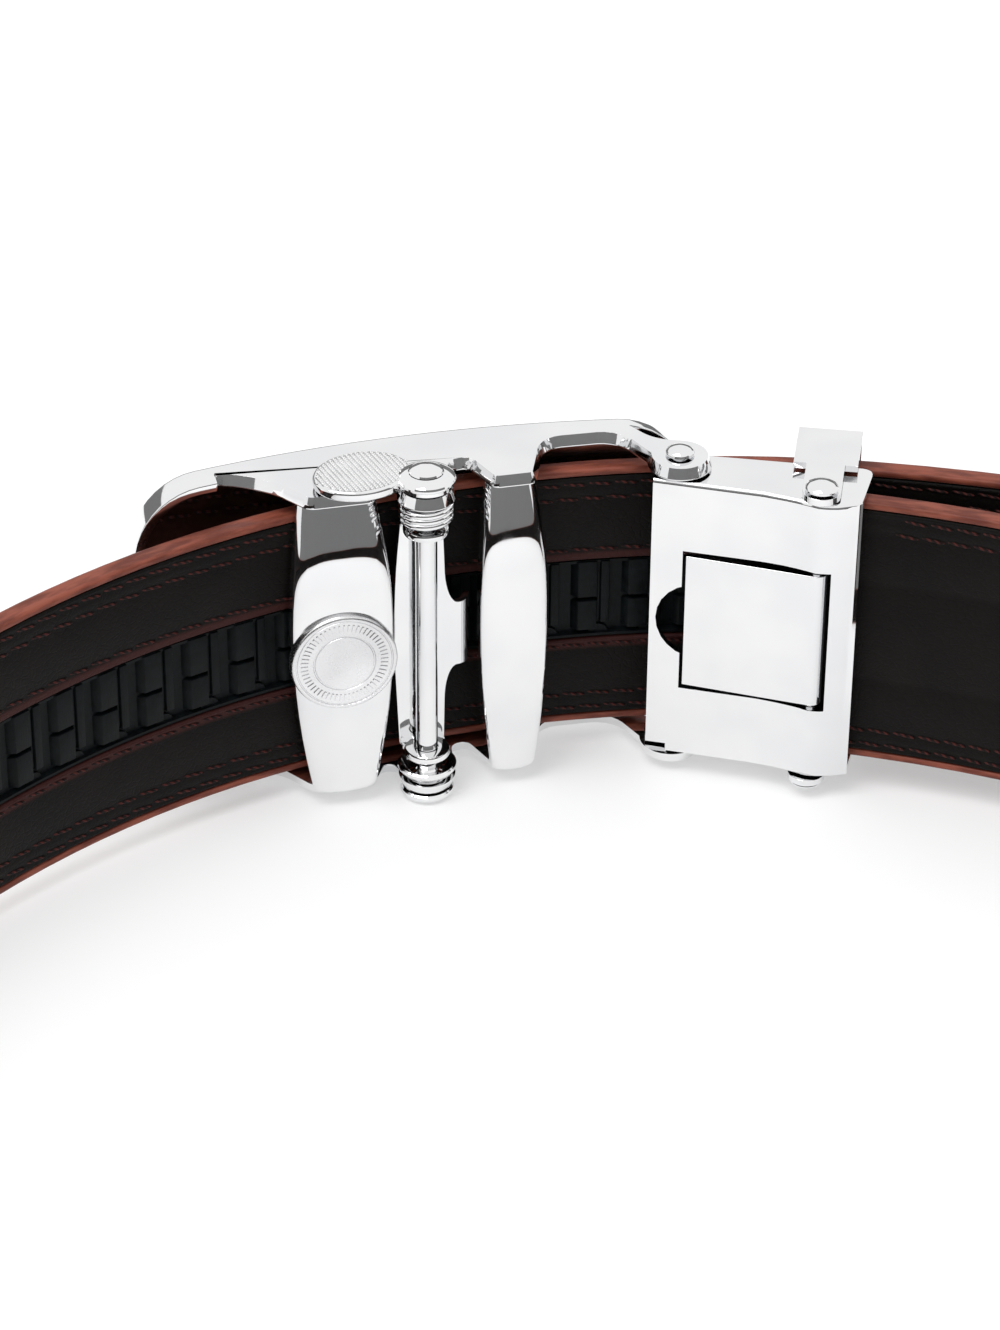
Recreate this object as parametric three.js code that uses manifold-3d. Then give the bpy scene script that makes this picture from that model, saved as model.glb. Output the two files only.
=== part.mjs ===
import * as THREE from 'three';
import { mergeVertices } from 'three/addons/utils/BufferGeometryUtils.js';
import Module from 'manifold-3d';

// Ratchet belt, standing on edge. Millimetres, +X along the buckle, +Y out of its front, +Z up.
// The pivot pin of the pawl stands at x = 0, y = 0 while the pieces are made.

// Strap
const strapWidth = 34.8;
const strapThickness = 2.9;
const liningThickness = 1.3;
const layerGap = 0.3;
const edgeBead = 0.9; // turned leather edge above and below the lining
const strapPlay = 0.6; // strap's lower edge above the buckle's lower wall
const liftRun = 170; // length over which the lower edge comes down to the surface

// Path of the strap's inner face: apex in the buckle, then arcs that are tangent to each other
const apexX = 12;
const apexY = 6;
const buckleRadius = 113;
const buckleLeftTurn = 35; // degrees left of the apex
const buckleRightTurn = 21; // degrees right of the apex
const nearRadius = 125; // wearer's back
const rightTurn = 93.5;
const nearTurn = 120;
const tailRadius = 170;
const tailLength = 112;
const tipShoulder = 0.4; // the tip's arc is narrower than the strap by this on each side
const facetTurn = 6.5;

// Ratchet track
const trackWidth = 10.4;
const trackGap = 0.3;
const trackDrop = 0.4; // middle of the track below the strap's middle
const trackRecess = 0.2; // crest of the teeth below the lining's face
const toothHeight = 0.8;
const toothPitch = 6;
const toothRoot = 1.2;
const toothRamp = 1;
const trackBefore = 170; // length left of the apex
const trackAfter = 118; // length right of the apex
const toothPhase = -0.4;

// Buckle frame
const plateLength = 66;
const plateRadius = 145;
const plateApex = 4; // x of the plate's foremost line
const plateThickness = 2;
const plateOut = 12.6; // front of the plate in front of the pin
const plateCorner = 8;
const rimDepth = 2.2; // rim behind the plate, round its outline
const rimThickness = 1.2;
const archDepth = 5.1; // wall's arch before the hinge ear, behind the plate's foremost line
const frameLow = 1.5;
const wallThickness = 1.3;
const lugRadius = 3.35;
const earX = 29.9;
const earY = 0.9;
const earRadius = 3.7;

// Loop bars: widths at the top, the middle and the bottom
const wideBar = { x: -9.9, top: 8.6, mid: 11.8, bottom: 7.1, rear: -0.7, depth: 3.1 };
const plainBar = { x: 10.35, top: 5.7, mid: 8, bottom: 5.1, rear: -0.4, depth: 2.9 };
const medallionRadius = 6.2;
const medallionThickness = 1.2;
const barFoot = 0.2; // bars' lower ends above the lower wall's face
const barDrop = 0.9; // bars' tops below the upper wall's face
const barBend = 8; // below the upper wall's face the bars' rear leans forward
const barLean = 2.4; // by this much at the top
const medallionDrop = 0.8; // its middle below the frame's middle
const recessDepth = 0.5;

// Pivot, pawl and lever
const pinRadius = 1.27;
const pinPlay = 0.1;
const pinHeadRadius = 3.2;
const partGap = 0.3;
const pawlFoot = 2.6; // pawl above the lower wall
const springRoom = 3.6; // between the pawl and the top wall
const pawlPlate = 1;
const pawlRear = 1.9; // rear face of the pawl's plate
const pawlLeft = -3.7;
const pawlRight = 2.9;
const tongueRoot = 16.7; // height of the tongue where it leaves the plate
const tongueTip = 9.4;
const tongueReach = 6; // the tip goes into the gap nearest to this x
const springTurns = 3;
const springWire = 0.85;
const padX = -7;
const padY = 2.3;
const padLong = 5.7;
const padWide = 4.6;
const padThickness = 1.3;
const bossRadius = 3.3;
const bossHeight = 1.2;

// Clamp, in its own frame: x along the housing from the hinge rivet, y outwards
const clampTurn = -26.5;
const sheet = 0.8;
const housingStart = -2.4;
const housingEnd = 21.8;
const webFace = -3.35;
const webBulge = -4.5;
const flangeNear = 3.1;
const flangeFar = 4.8;
const windowStart = 1.35;
const windowEnd = 18.8;
const windowHeight = 18.8;
const notchRadius = 5;
const notchDepth = 3;
const rivetRadius = 1;
const rivetHead = 1.65;
const flapStart = 1.75;
const flapHeight = 17.6;
const flapPinX = 17;
const flapPinY = -3.05;
const flapBarrel = 1.3;
const clampPinRadius = 0.6;
const clampPinHead = 1.9;
const strapStart = 8; // clamped end of the strap, along the housing
const clampedFace = -0.8; // its inner face
const clampedRun = 24;

// Tail keeper, turned to lie along the tail
const keeperTurn = 5.5;
const armHalf = 2.2;
const headHalf = 3.7;
const headStart = 6;
const keeperPlate = 0.7;

const degree = Math.PI / 180;
const buckleLift = frameLow + wallThickness + strapPlay; // strap's lower edge above the surface, in the buckle
const housingLow = frameLow + wallThickness + partGap;
const clampLift = housingLow + sheet + partGap; // the same, in the clamp housing
const housingTop = clampLift + strapWidth + partGap + sheet;
const housingMiddle = (housingLow + housingTop) / 2;
const frameTop = housingTop + partGap + wallThickness;
const pawlBottom = frameLow + wallThickness + pawlFoot;
const pawlTop = frameTop - wallThickness - springRoom;
const medallionHeight = (frameLow + frameTop) / 2 - medallionDrop;
const tipRadius = strapWidth / 2 - tipShoulder;

const wasm = await Module();
wasm.setup();

function toSolid(geometry) {
  const bare = geometry.index ? geometry.toNonIndexed() : geometry.clone();
  bare.deleteAttribute('normal');
  bare.deleteAttribute('uv');
  const merged = mergeVertices(bare, 1e-4);
  return new wasm.Manifold(new wasm.Mesh({
    numProp: 3,
    vertProperties: merged.attributes.position.array,
    triVerts: new Uint32Array(merged.index.array),
  }));
}

function toGeometry(solid) {
  const mesh = solid.getMesh();
  const geometry = new THREE.BufferGeometry();
  geometry.setAttribute('position', new THREE.BufferAttribute(mesh.vertProperties, 3));
  geometry.setIndex(new THREE.BufferAttribute(mesh.triVerts, 1));
  return geometry;
}

function join(...geometries) {
  return toGeometry(geometries.map(toSolid).reduce((all, next) => all.add(next)));
}

function cut(body, ...tools) {
  return toGeometry(tools.map(toSolid).reduce((left, tool) => left.subtract(tool), toSolid(body)));
}

function common(first, second) {
  return toGeometry(toSolid(first).intersect(toSolid(second)));
}

// A plan shape made into an upright solid between two heights
function upright(shape, low, high, curveSegments = 6) {
  return new THREE.ExtrudeGeometry(shape, { depth: high - low, bevelEnabled: false, curveSegments })
    .translate(0, 0, low);
}

// A shape drawn in x and z, made solid from the rear to the front
function frontal(shape, rear, depth, bevel = 0, curveSegments = 6) {
  const options = { depth: depth - 2 * bevel, bevelEnabled: bevel > 0, curveSegments, bevelSegments: 2 };
  Object.assign(options, { bevelThickness: bevel, bevelSize: bevel, bevelOffset: -bevel });
  return new THREE.ExtrudeGeometry(shape, options).translate(0, 0, bevel).rotateX(Math.PI / 2)
    .translate(0, rear + depth, 0);
}

// A shape drawn in y and z, made solid between two places along x
function sideways(shape, from, to) {
  return new THREE.ExtrudeGeometry(shape, { depth: to - from, bevelEnabled: false, curveSegments: 4 })
    .rotateX(Math.PI / 2).rotateZ(Math.PI / 2).translate(from, 0, 0);
}

function post(radius, low, high, x = 0, y = 0, sides = 20) {
  return new THREE.CylinderGeometry(radius, radius, high - low, sides).rotateX(Math.PI / 2)
    .translate(x, y, (low + high) / 2);
}

function block(x0, x1, y0, y1, z0, z1) {
  return new THREE.BoxGeometry(x1 - x0, y1 - y0, z1 - z0)
    .translate((x0 + x1) / 2, (y0 + y1) / 2, (z0 + z1) / 2);
}

// A round piece about an upright axis from a closed profile of radius and height
function turned(profile, x = 0, y = 0, sides = 20) {
  const points = profile.map(([radius, height]) => new THREE.Vector2(radius, height));
  return new THREE.LatheGeometry(points, sides).rotateX(Math.PI / 2).translate(x, y, 0);
}

// Strap path

const clampAngle = clampTurn * degree;
const clampedStart = new THREE.Vector2(strapStart, clampedFace).rotateAround(new THREE.Vector2(), clampAngle)
  .add(new THREE.Vector2(earX, earY));

// How far one unit of radius carries a right-hand turn between two headings
function turnStep(from, to) {
  return new THREE.Vector2(Math.sin(from) - Math.sin(to), Math.cos(to) - Math.cos(from));
}

// The two side radii that close the loop between the clamp and the buckle
function sideRadii() {
  const start = clampedStart.clone().add(
    new THREE.Vector2(Math.cos(clampAngle), Math.sin(clampAngle)).multiplyScalar(clampedRun - strapStart));
  const lastHeading = buckleLeftTurn * degree;
  const goal = new THREE.Vector2(apexX - buckleRadius * Math.sin(lastHeading),
    apexY - buckleRadius * (1 - Math.cos(lastHeading))).sub(start);
  const first = clampAngle - rightTurn * degree;
  const second = first - nearTurn * degree;
  const right = turnStep(clampAngle, first);
  const near = turnStep(first, second).multiplyScalar(nearRadius);
  const left = turnStep(second, lastHeading - 2 * Math.PI);
  const rest = goal.sub(near);
  const scale = right.x * left.y - right.y * left.x;
  return [(rest.x * left.y - rest.y * left.x) / scale, (right.x * rest.y - right.y * rest.x) / scale];
}

function strapStations() {
  const [rightRadius, leftRadius] = sideRadii();
  const leftTurn = 360 + clampTurn - rightTurn - nearTurn - buckleLeftTurn;
  const arcs = [
    [rightRadius, rightTurn],
    [nearRadius, nearTurn],
    [leftRadius, leftTurn],
    [buckleRadius, buckleLeftTurn],
    [buckleRadius, buckleRightTurn],
    [tailRadius, tailLength / tailRadius / degree],
  ];
  const stations = [];
  const place = clampedStart.clone();
  let heading = clampAngle;
  let run = 0;
  const mark = () => stations.push({ at: place.clone(), heading, run });
  mark();
  place.add(new THREE.Vector2(Math.cos(heading), Math.sin(heading)).multiplyScalar(clampedRun - strapStart));
  run += clampedRun - strapStart;
  mark();
  for (const [radius, turn] of arcs) {
    const facets = Math.ceil(turn / facetTurn);
    const step = turn * degree / facets;
    for (let i = 0; i < facets; i += 1) {
      place.add(turnStep(heading, heading - step).multiplyScalar(radius));
      heading -= step;
      run += radius * step;
      mark();
    }
  }
  return stations;
}

const stations = strapStations();
const strapEnd = stations.at(-1).run;
const apexRun = strapEnd - tailLength - buckleRadius * buckleRightTurn * degree;

function offsetPoint(station, offset) {
  return new THREE.Vector2(station.at.x - Math.sin(station.heading) * offset,
    station.at.y + Math.cos(station.heading) * offset);
}

// The point of the path at a run length, moved outwards from the inner face
function pathPoint(run, offset) {
  const next = Math.max(1, stations.findIndex((station) => station.run >= run - 1e-6));
  const share = (run - stations[next - 1].run) / (stations[next].run - stations[next - 1].run);
  return offsetPoint(stations[next - 1], offset).lerp(offsetPoint(stations[next], offset), share);
}

function runsBetween(from, to) {
  const inner = stations.map((station) => station.run).filter((run) => run > from + 0.5 && run < to - 0.5);
  return [from, ...inner, to];
}

// Height of the strap's lower edge above the surface
function liftAt(run) {
  const fromClamp = THREE.MathUtils.smoothstep(run, clampedRun - strapStart, liftRun);
  const toBuckle = THREE.MathUtils.smoothstep(run, apexRun - liftRun, apexRun - plateLength / 2);
  return clampLift * (1 - fromClamp) + buckleLift * toBuckle;
}

// The run of the stretch that a point lies on or outside of
function nearestRun(x, y) {
  let best = { distance: Infinity, run: 0 };
  for (let i = 1; i < stations.length; i += 1) {
    const [a, b] = [stations[i - 1], stations[i]];
    const along = b.at.clone().sub(a.at);
    const reach = new THREE.Vector2(x, y).sub(a.at);
    const share = THREE.MathUtils.clamp(reach.dot(along) / along.lengthSq(), 0, 1);
    const distance = reach.distanceTo(along.clone().multiplyScalar(share));
    const isOutside = along.cross(reach) > -0.2 * along.length();
    if (isOutside && distance < best.distance) best = { distance, run: a.run + share * (b.run - a.run) };
  }
  return best.run;
}

// Raises a layer of the strap from the surface by the lift of its place on the path
function lifted(geometry) {
  const place = geometry.attributes.position;
  for (let i = 0; i < place.count; i += 1) {
    place.setZ(i, place.getZ(i) + liftAt(nearestRun(place.getX(i), place.getY(i))));
  }
  return geometry;
}

function ribbon(from, to, innerOffset, outerOffset, low, high) {
  const runs = runsBetween(from, to);
  const inner = runs.map((run) => pathPoint(run, innerOffset));
  const outer = runs.map((run) => pathPoint(run, outerOffset)).reverse();
  return upright(new THREE.Shape([...inner, ...outer]), low, high);
}

// What the rounded tip of the tail takes off the strap's end
function tipWaste() {
  const reach = strapThickness * 3;
  const half = strapWidth / 2;
  const side = 78 * degree;
  const drop = tipRadius * (1 - Math.cos(side));
  const shape = new THREE.Shape();
  shape.moveTo(-drop - 1, -half - 1);
  shape.lineTo(4, -half - 1);
  shape.lineTo(4, half + 1);
  shape.lineTo(-drop - 1, half + 1);
  shape.lineTo(-drop, half);
  shape.absarc(-tipRadius, 0, tipRadius, side, -side, true);
  shape.lineTo(-drop, -half);
  const end = stations.at(-1);
  return frontal(shape, -reach, 2 * reach, 0, 10).translate(0, 0, half).rotateZ(end.heading)
    .translate(end.at.x, end.at.y, 0);
}

function strapLeather() {
  const whole = ribbon(0, strapEnd, 0, strapThickness, 0, strapWidth);
  const pocket = ribbon(0, strapEnd, -1, liningThickness + layerGap, edgeBead, strapWidth - edgeBead);
  return lifted(cut(whole, pocket, tipWaste()));
}

const trackStart = apexRun - trackBefore;
const trackEnd = apexRun + trackAfter;

function strapLining() {
  const low = edgeBead + layerGap;
  const lining = ribbon(0, strapEnd, 0, liningThickness, low, strapWidth - low);
  const slotLow = (strapWidth - trackWidth) / 2 - trackDrop - trackGap;
  const slot = ribbon(trackStart - trackGap, trackEnd + trackGap, -1, liningThickness + 1,
    slotLow, slotLow + trackWidth + 2 * trackGap);
  return lifted(cut(lining, slot, tipWaste()));
}

// The track's inner side goes root, ramp, crest; its steep faces look left
function ratchetTrack() {
  const crest = trackRecess;
  const root = trackRecess + toothHeight;
  const points = [];
  const firstTooth = Math.ceil((trackStart - apexRun) / toothPitch);
  const lastTooth = Math.floor((trackEnd - apexRun) / toothPitch) - 1;
  for (let i = firstTooth; i < lastTooth; i += 1) {
    const run = apexRun + i * toothPitch + toothPhase;
    points.push(pathPoint(run, root), pathPoint(run + toothRoot, root));
    points.push(pathPoint(run + toothRoot + toothRamp, crest), pathPoint(run + toothPitch - 0.05, crest));
  }
  const firstRun = apexRun + firstTooth * toothPitch + toothPhase;
  const lastRun = apexRun + lastTooth * toothPitch + toothPhase - 0.05;
  const back = runsBetween(firstRun, lastRun).map((run) => pathPoint(run, liningThickness)).reverse();
  const low = (strapWidth - trackWidth) / 2 - trackDrop;
  return lifted(upright(new THREE.Shape([...points, ...back]), low, low + trackWidth));
}

// Buckle frame

function plateFront(x) {
  return plateOut - plateRadius + Math.sqrt(plateRadius ** 2 - (x - plateApex) ** 2);
}

// Plan of a stretch of the plate's curve, from its front to a depth behind it
function plateShape(depth) {
  const half = plateLength / 2;
  const left = Math.acos((-half - plateApex) / plateRadius);
  const right = Math.acos((half - plateApex) / plateRadius);
  const centre = plateOut - plateRadius;
  const shape = new THREE.Shape();
  shape.absarc(plateApex, centre, plateRadius, right, left, false);
  shape.absarc(plateApex, centre, plateRadius - depth, left, right, true);
  return shape;
}

// Rounded outline of the plate in x and z, moved inwards by an inset
function faceShape(inset) {
  const half = plateLength / 2 - inset;
  const [low, top, corner] = [frameLow + inset, frameTop - inset, plateCorner - inset];
  const shape = new THREE.Shape();
  shape.absarc(half - corner, low + corner, corner, -Math.PI / 2, 0, false);
  shape.absarc(half - corner, top - corner, corner, 0, Math.PI / 2, false);
  shape.absarc(corner - half, top - corner, corner, Math.PI / 2, Math.PI, false);
  shape.absarc(corner - half, low + corner, corner, Math.PI, Math.PI * 1.5, false);
  return shape;
}

function frontPlate() {
  const face = frontal(faceShape(0), 0, plateOut + 4);
  const plate = common(upright(plateShape(plateThickness), frameLow, frameTop, 12), face);
  const wayOut = block(0, plateLength, 0, plateOut + 6, buckleLift - partGap, buckleLift + strapWidth + partGap);
  const ring = cut(face, frontal(faceShape(rimThickness), -1, plateOut + 6), wayOut);
  const depth = plateThickness + rimDepth;
  return join(plate, common(upright(plateShape(depth), frameLow, frameTop, 12), ring));
}

// Plan of the top and bottom walls: scallops between the bars, the pin's lug and the hinge ear
function wallShape() {
  const end = plateLength / 2 - plateCorner + 1;
  const left = -end;
  const land = plateFront(left + 0.8) - plateThickness / 2 - 0.3;
  const arch = plateOut - archDepth;
  const wideLeft = wideBar.x - wideBar.top / 2;
  const plainRight = plainBar.x + plainBar.top / 2;
  const shape = new THREE.Shape();
  shape.moveTo(left, plateFront(left) - plateThickness / 2);
  shape.lineTo(left + 0.8, land);
  shape.quadraticCurveTo(wideLeft - 4.8, land - 1.1, wideLeft - 2, land - 3.9);
  shape.lineTo(wideLeft + 0.6, wideBar.rear + 0.6);
  shape.lineTo(wideBar.x + wideBar.top / 2 - 0.4, wideBar.rear + 0.6);
  shape.lineTo(-4.6, 2.6);
  shape.lineTo(-3.3, 2.2);
  shape.absarc(0, 0, lugRadius, Math.PI * 0.86, Math.PI * 2.07, false);
  shape.lineTo(4, 4.9);
  shape.quadraticCurveTo(5.6, 5.4, 6.4, 3.6);
  shape.lineTo(plainBar.x - plainBar.top / 2 + 0.4, plainBar.rear + 0.6);
  shape.lineTo(plainRight - 0.4, plainBar.rear + 0.6);
  shape.lineTo(plainRight + 1, arch - 3.9);
  shape.quadraticCurveTo(plainRight + 2.4, arch + 0.1, plainRight + 6.4, arch);
  shape.quadraticCurveTo(earX - 5.3, arch - 0.3, earX - earRadius * 0.97, earY + 1.2);
  shape.absarc(earX, earY, earRadius, Math.PI * 0.9, Math.PI * 2.35, false);
  shape.quadraticCurveTo(earX - 1.8, 6.4, end + 1.4, plateFront(end) - plateThickness / 2);
  shape.lineTo(end, plateFront(end) - plateThickness / 2);
  return shape;
}

// Barrel outline in x and z, one curve up each side
function barShape(bar) {
  const swell = (bar.mid * 4 - bar.top - bar.bottom) / 4;
  const low = frameLow + barFoot;
  const top = frameTop - barDrop;
  const middle = (low + top) / 2;
  const shape = new THREE.Shape();
  shape.moveTo(bar.x - bar.bottom / 2, low);
  shape.lineTo(bar.x + bar.bottom / 2, low);
  shape.quadraticCurveTo(bar.x + swell, middle, bar.x + bar.top / 2, top);
  shape.lineTo(bar.x - bar.top / 2, top);
  shape.quadraticCurveTo(bar.x - swell, middle, bar.x - bar.bottom / 2, low);
  return shape;
}

// Side of a bar in y and z: its rear is upright up to the bend and leans forward above it
function barSide(bar) {
  const bend = frameTop - barBend;
  const front = bar.rear + bar.depth + 1;
  const shape = new THREE.Shape();
  shape.moveTo(front, 0);
  shape.lineTo(front, frameTop);
  shape.lineTo(bar.rear + barLean, frameTop - barDrop);
  shape.lineTo(bar.rear + 0.35, bend + 1.4);
  shape.quadraticCurveTo(bar.rear, bend, bar.rear, bend - 1.2);
  shape.lineTo(bar.rear, 0);
  return shape;
}

function loopBar(bar) {
  const side = sideways(barSide(bar), bar.x - bar.mid, bar.x + bar.mid);
  return common(frontal(barShape(bar), bar.rear, bar.depth, 0.7, 8), side);
}

function medallionDisc(radius, rear, thickness) {
  return new THREE.CylinderGeometry(radius, radius, thickness, 28)
    .translate(wideBar.x - 0.3, rear + thickness / 2, medallionHeight);
}

function buckleFrame() {
  const wall = wallShape();
  const body = join(frontPlate(),
    upright(wall, frameLow, frameLow + wallThickness),
    upright(wall, frameTop - wallThickness, frameTop),
    loopBar(wideBar), loopBar(plainBar));
  return cut(body,
    post(pinRadius + pinPlay, -1, frameTop + 1),
    post(rivetRadius + pinPlay, -1, frameTop + 1, earX, earY),
    medallionDisc(medallionRadius + partGap, wideBar.rear - 1, recessDepth + 1));
}

function medallion() {
  const rear = wideBar.rear + recessDepth - partGap - medallionThickness;
  return medallionDisc(medallionRadius, rear, medallionThickness);
}

// Pivot, pawl, spring and lever

function pivotPin() {
  const top = frameTop + partGap + bossHeight;
  return turned([
    [0, 0], [pinHeadRadius * 0.7, 0], [pinHeadRadius * 0.93, 0.35], [pinHeadRadius, 0.8],
    [pinHeadRadius * 0.95, frameLow - partGap], [pinRadius, frameLow - partGap],
    [pinRadius, top + partGap], [1.9, top + partGap], [1.9, top + partGap + 0.5],
    [1, top + partGap + 1], [0, top + partGap + 1.1],
  ]);
}

function pawlBody() {
  const plate = block(pawlLeft, pawlRight, pawlRear, pawlRear + pawlPlate, pawlBottom, pawlTop);
  const ear = new THREE.Shape();
  ear.moveTo(-2.9, pawlRear + pawlPlate / 2);
  ear.absarc(0, 0, 2.9, Math.PI, 2 * Math.PI, false);
  ear.lineTo(2.9, pawlRear + pawlPlate / 2);
  const lowEar = upright(ear, pawlBottom, pawlBottom + pawlPlate);
  const topEar = upright(ear, pawlTop - pawlPlate, pawlTop);
  return cut(join(plate, lowEar, topEar, pawlTongue()), post(pinRadius + pinPlay, 0, frameTop));
}

// The tongue leaves the plate's right edge and bends into the gap before a tooth
function pawlTongue() {
  const tooth = Math.round((tongueReach - apexX) / toothPitch);
  const gap = pathPoint(apexRun + tooth * toothPitch + toothPhase + toothRoot / 2, trackRecess);
  const tipY = gap.y + 0.3;
  const plan = new THREE.Shape();
  plan.moveTo(pawlRight - 1, pawlRear);
  plan.lineTo(pawlRight + 1.6, pawlRear);
  plan.quadraticCurveTo(pawlRight + 2.6, pawlRear + 0.4, gap.x + 0.35, gap.y - 0.6);
  plan.lineTo(gap.x + 0.15, tipY);
  plan.lineTo(gap.x - 0.2, tipY);
  plan.lineTo(pawlRight + 1.2, pawlRear + pawlPlate);
  plan.lineTo(pawlRight - 1, pawlRear + pawlPlate);
  const middle = buckleLift + strapWidth / 2 - trackDrop;
  const face = new THREE.Shape();
  face.moveTo(pawlRight - 2, middle - tongueRoot / 2);
  face.lineTo(pawlRight, middle - tongueRoot / 2);
  face.quadraticCurveTo(pawlRight + 0.3, middle - tongueTip / 2, pawlRight + 2.2, middle - tongueTip / 2);
  face.lineTo(gap.x + 1, middle - tongueTip / 2);
  face.lineTo(gap.x + 1, middle + tongueTip / 2);
  face.lineTo(pawlRight + 2.2, middle + tongueTip / 2);
  face.quadraticCurveTo(pawlRight + 0.3, middle + tongueTip / 2, pawlRight, middle + tongueRoot / 2);
  face.lineTo(pawlRight - 2, middle + tongueRoot / 2);
  return common(upright(plan, 0, frameTop), frontal(face, 0, plateOut));
}

function pawlSpring() {
  const inner = pinRadius + pinPlay + 0.1;
  const outer = inner + springWire * 2;
  const low = pawlTop + partGap;
  const rise = (frameTop - wallThickness - partGap - low) / springTurns;
  const profile = [[inner, low]];
  for (let i = 0; i < springTurns; i += 1) {
    profile.push([outer - 0.35, low + i * rise], [outer, low + (i + 0.35) * rise]);
    profile.push([outer, low + (i + 0.65) * rise]);
  }
  profile.push([outer - 0.35, low + springTurns * rise], [inner, low + springTurns * rise], [inner, low]);
  return turned(profile);
}

function releaseLever() {
  const low = frameTop + partGap;
  const pad = new THREE.Shape();
  pad.absellipse(padX, padY, padLong, padWide, 0, 2 * Math.PI, false, 0.25);
  const neck = new THREE.Shape([[padX, padY - 3.6], [-1, -bossRadius + 0.3], [1, bossRadius - 0.6],
    [padX + 2, padY + 3.4]].map(([x, y]) => new THREE.Vector2(x, y)));
  const body = join(upright(pad, low, low + padThickness, 10), upright(neck, low, low + bossHeight),
    post(bossRadius, low, low + bossHeight));
  return cut(body, post(pinRadius + pinPlay, low - 1, low + bossHeight + 1));
}

// Clamp, made about the hinge rivet

function hingeRivet(atTop) {
  const outerFace = frameTop + partGap;
  const innerFace = housingTop - sheet - partGap;
  const rivet = turned([
    [0, innerFace - 0.6], [rivetRadius + 0.4, innerFace - 0.6], [rivetRadius + 0.4, innerFace],
    [rivetRadius, innerFace], [rivetRadius, outerFace], [rivetHead, outerFace],
    [rivetHead, outerFace + 0.3], [rivetHead * 0.6, outerFace + 0.7], [0, outerFace + 0.8],
  ]);
  if (atTop) return rivet;
  return rivet.rotateX(Math.PI).translate(0, 0, frameLow + frameTop);
}

function webShape() {
  const shape = new THREE.Shape();
  const [outer, inner] = [webFace, webFace + sheet];
  shape.moveTo(housingStart, outer);
  shape.lineTo(flapPinX - 8, outer - 0.05);
  shape.quadraticCurveTo(flapPinX - 3.5, outer - 0.1, flapPinX, webBulge);
  shape.quadraticCurveTo(flapPinX + 2, webBulge, housingEnd, webFace + 0.3);
  shape.lineTo(housingEnd - 0.3, inner + 0.3);
  shape.quadraticCurveTo(flapPinX + 1.6, webBulge + sheet, flapPinX, webBulge + sheet);
  shape.quadraticCurveTo(flapPinX - 3.7, inner - 0.1, flapPinX - 8, inner - 0.05);
  shape.lineTo(housingStart, inner);
  return shape;
}

function flangeShape() {
  const shape = new THREE.Shape();
  shape.moveTo(housingStart, webFace + sheet / 2);
  shape.lineTo(flapPinX - 8, webFace + sheet / 2);
  shape.lineTo(flapPinX, webBulge + sheet / 2);
  shape.lineTo(housingEnd - 0.1, webFace + sheet / 2 + 0.3);
  shape.lineTo(housingEnd, flangeFar - 1.4);
  shape.quadraticCurveTo(housingEnd, flangeFar, housingEnd - 1.4, flangeFar);
  shape.lineTo(0, flangeNear);
  shape.absarc(0, 0, flangeNear, Math.PI / 2, Math.PI, false);
  shape.lineTo(-flangeNear, -0.6);
  return shape;
}

function clampHousing() {
  const flange = flangeShape();
  const body = join(upright(webShape(), housingLow, housingTop),
    upright(flange, housingLow, housingLow + sheet), upright(flange, housingTop - sheet, housingTop));
  const half = windowHeight / 2;
  const notch = new THREE.CylinderGeometry(notchRadius, notchRadius, 8, 24)
    .translate(windowStart - notchDepth + notchRadius, webFace, housingMiddle);
  return cut(body,
    block(windowStart, windowEnd, webBulge - 2, webFace + 2.2, housingMiddle - half, housingMiddle + half),
    notch,
    post(rivetRadius + pinPlay, 0, frameTop),
    post(clampPinRadius + pinPlay, 0, frameTop, flapPinX, flapPinY),
    block(housingStart - 1, housingStart + 2.4, webFace - 1, webFace + 1.4, housingLow - 1, housingLow + 1));
}

function clampFlap() {
  const plan = new THREE.Shape();
  const barrelFace = flapPinY - flapBarrel;
  plan.moveTo(flapStart, webFace - 0.1);
  plan.quadraticCurveTo(flapPinX * 0.5, webFace - 0.7, flapPinX, barrelFace + 0.02);
  plan.lineTo(flapPinX, barrelFace + sheet);
  plan.quadraticCurveTo(flapPinX * 0.5, webFace - 0.7 + sheet, flapStart, webFace - 0.1 + sheet);
  const low = housingMiddle - flapHeight / 2;
  const high = housingMiddle + flapHeight / 2;
  const body = join(upright(plan, low, high), post(flapBarrel, low, high, flapPinX, flapPinY, 24));
  return cut(body, post(clampPinRadius + pinPlay, low - 1, high + 1, flapPinX, flapPinY));
}

function clampPin() {
  const low = housingLow - sheet - 2 * partGap;
  const high = housingTop + sheet + 2 * partGap;
  return turned([
    [0, low - 0.7], [clampPinHead * 0.7, low - 0.7], [clampPinHead, low - 0.35], [clampPinHead, low],
    [clampPinRadius, low], [clampPinRadius, high], [clampPinHead, high], [clampPinHead, high + 0.35],
    [clampPinHead * 0.7, high + 0.7], [0, high + 0.7],
  ], flapPinX, flapPinY);
}

// Distance from the flap's pin to the tail's outer face, square to the keeper
function tailOuterFace() {
  const turn = clampAngle + keeperTurn * degree;
  const pin = new THREE.Vector2(flapPinX, flapPinY).rotateAround(new THREE.Vector2(), clampAngle)
    .add(new THREE.Vector2(earX, earY));
  const reaches = [-headHalf, 0, headHalf].map((along) => {
    const target = pin.x + along * Math.cos(turn);
    const run = apexRun + buckleRadius * Math.asin((target - apexX) / (buckleRadius + strapThickness));
    const face = pathPoint(run + along * 0.1, strapThickness).sub(pin);
    return face.y * Math.cos(turn) - face.x * Math.sin(turn);
  });
  return Math.max(...reaches);
}

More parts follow.
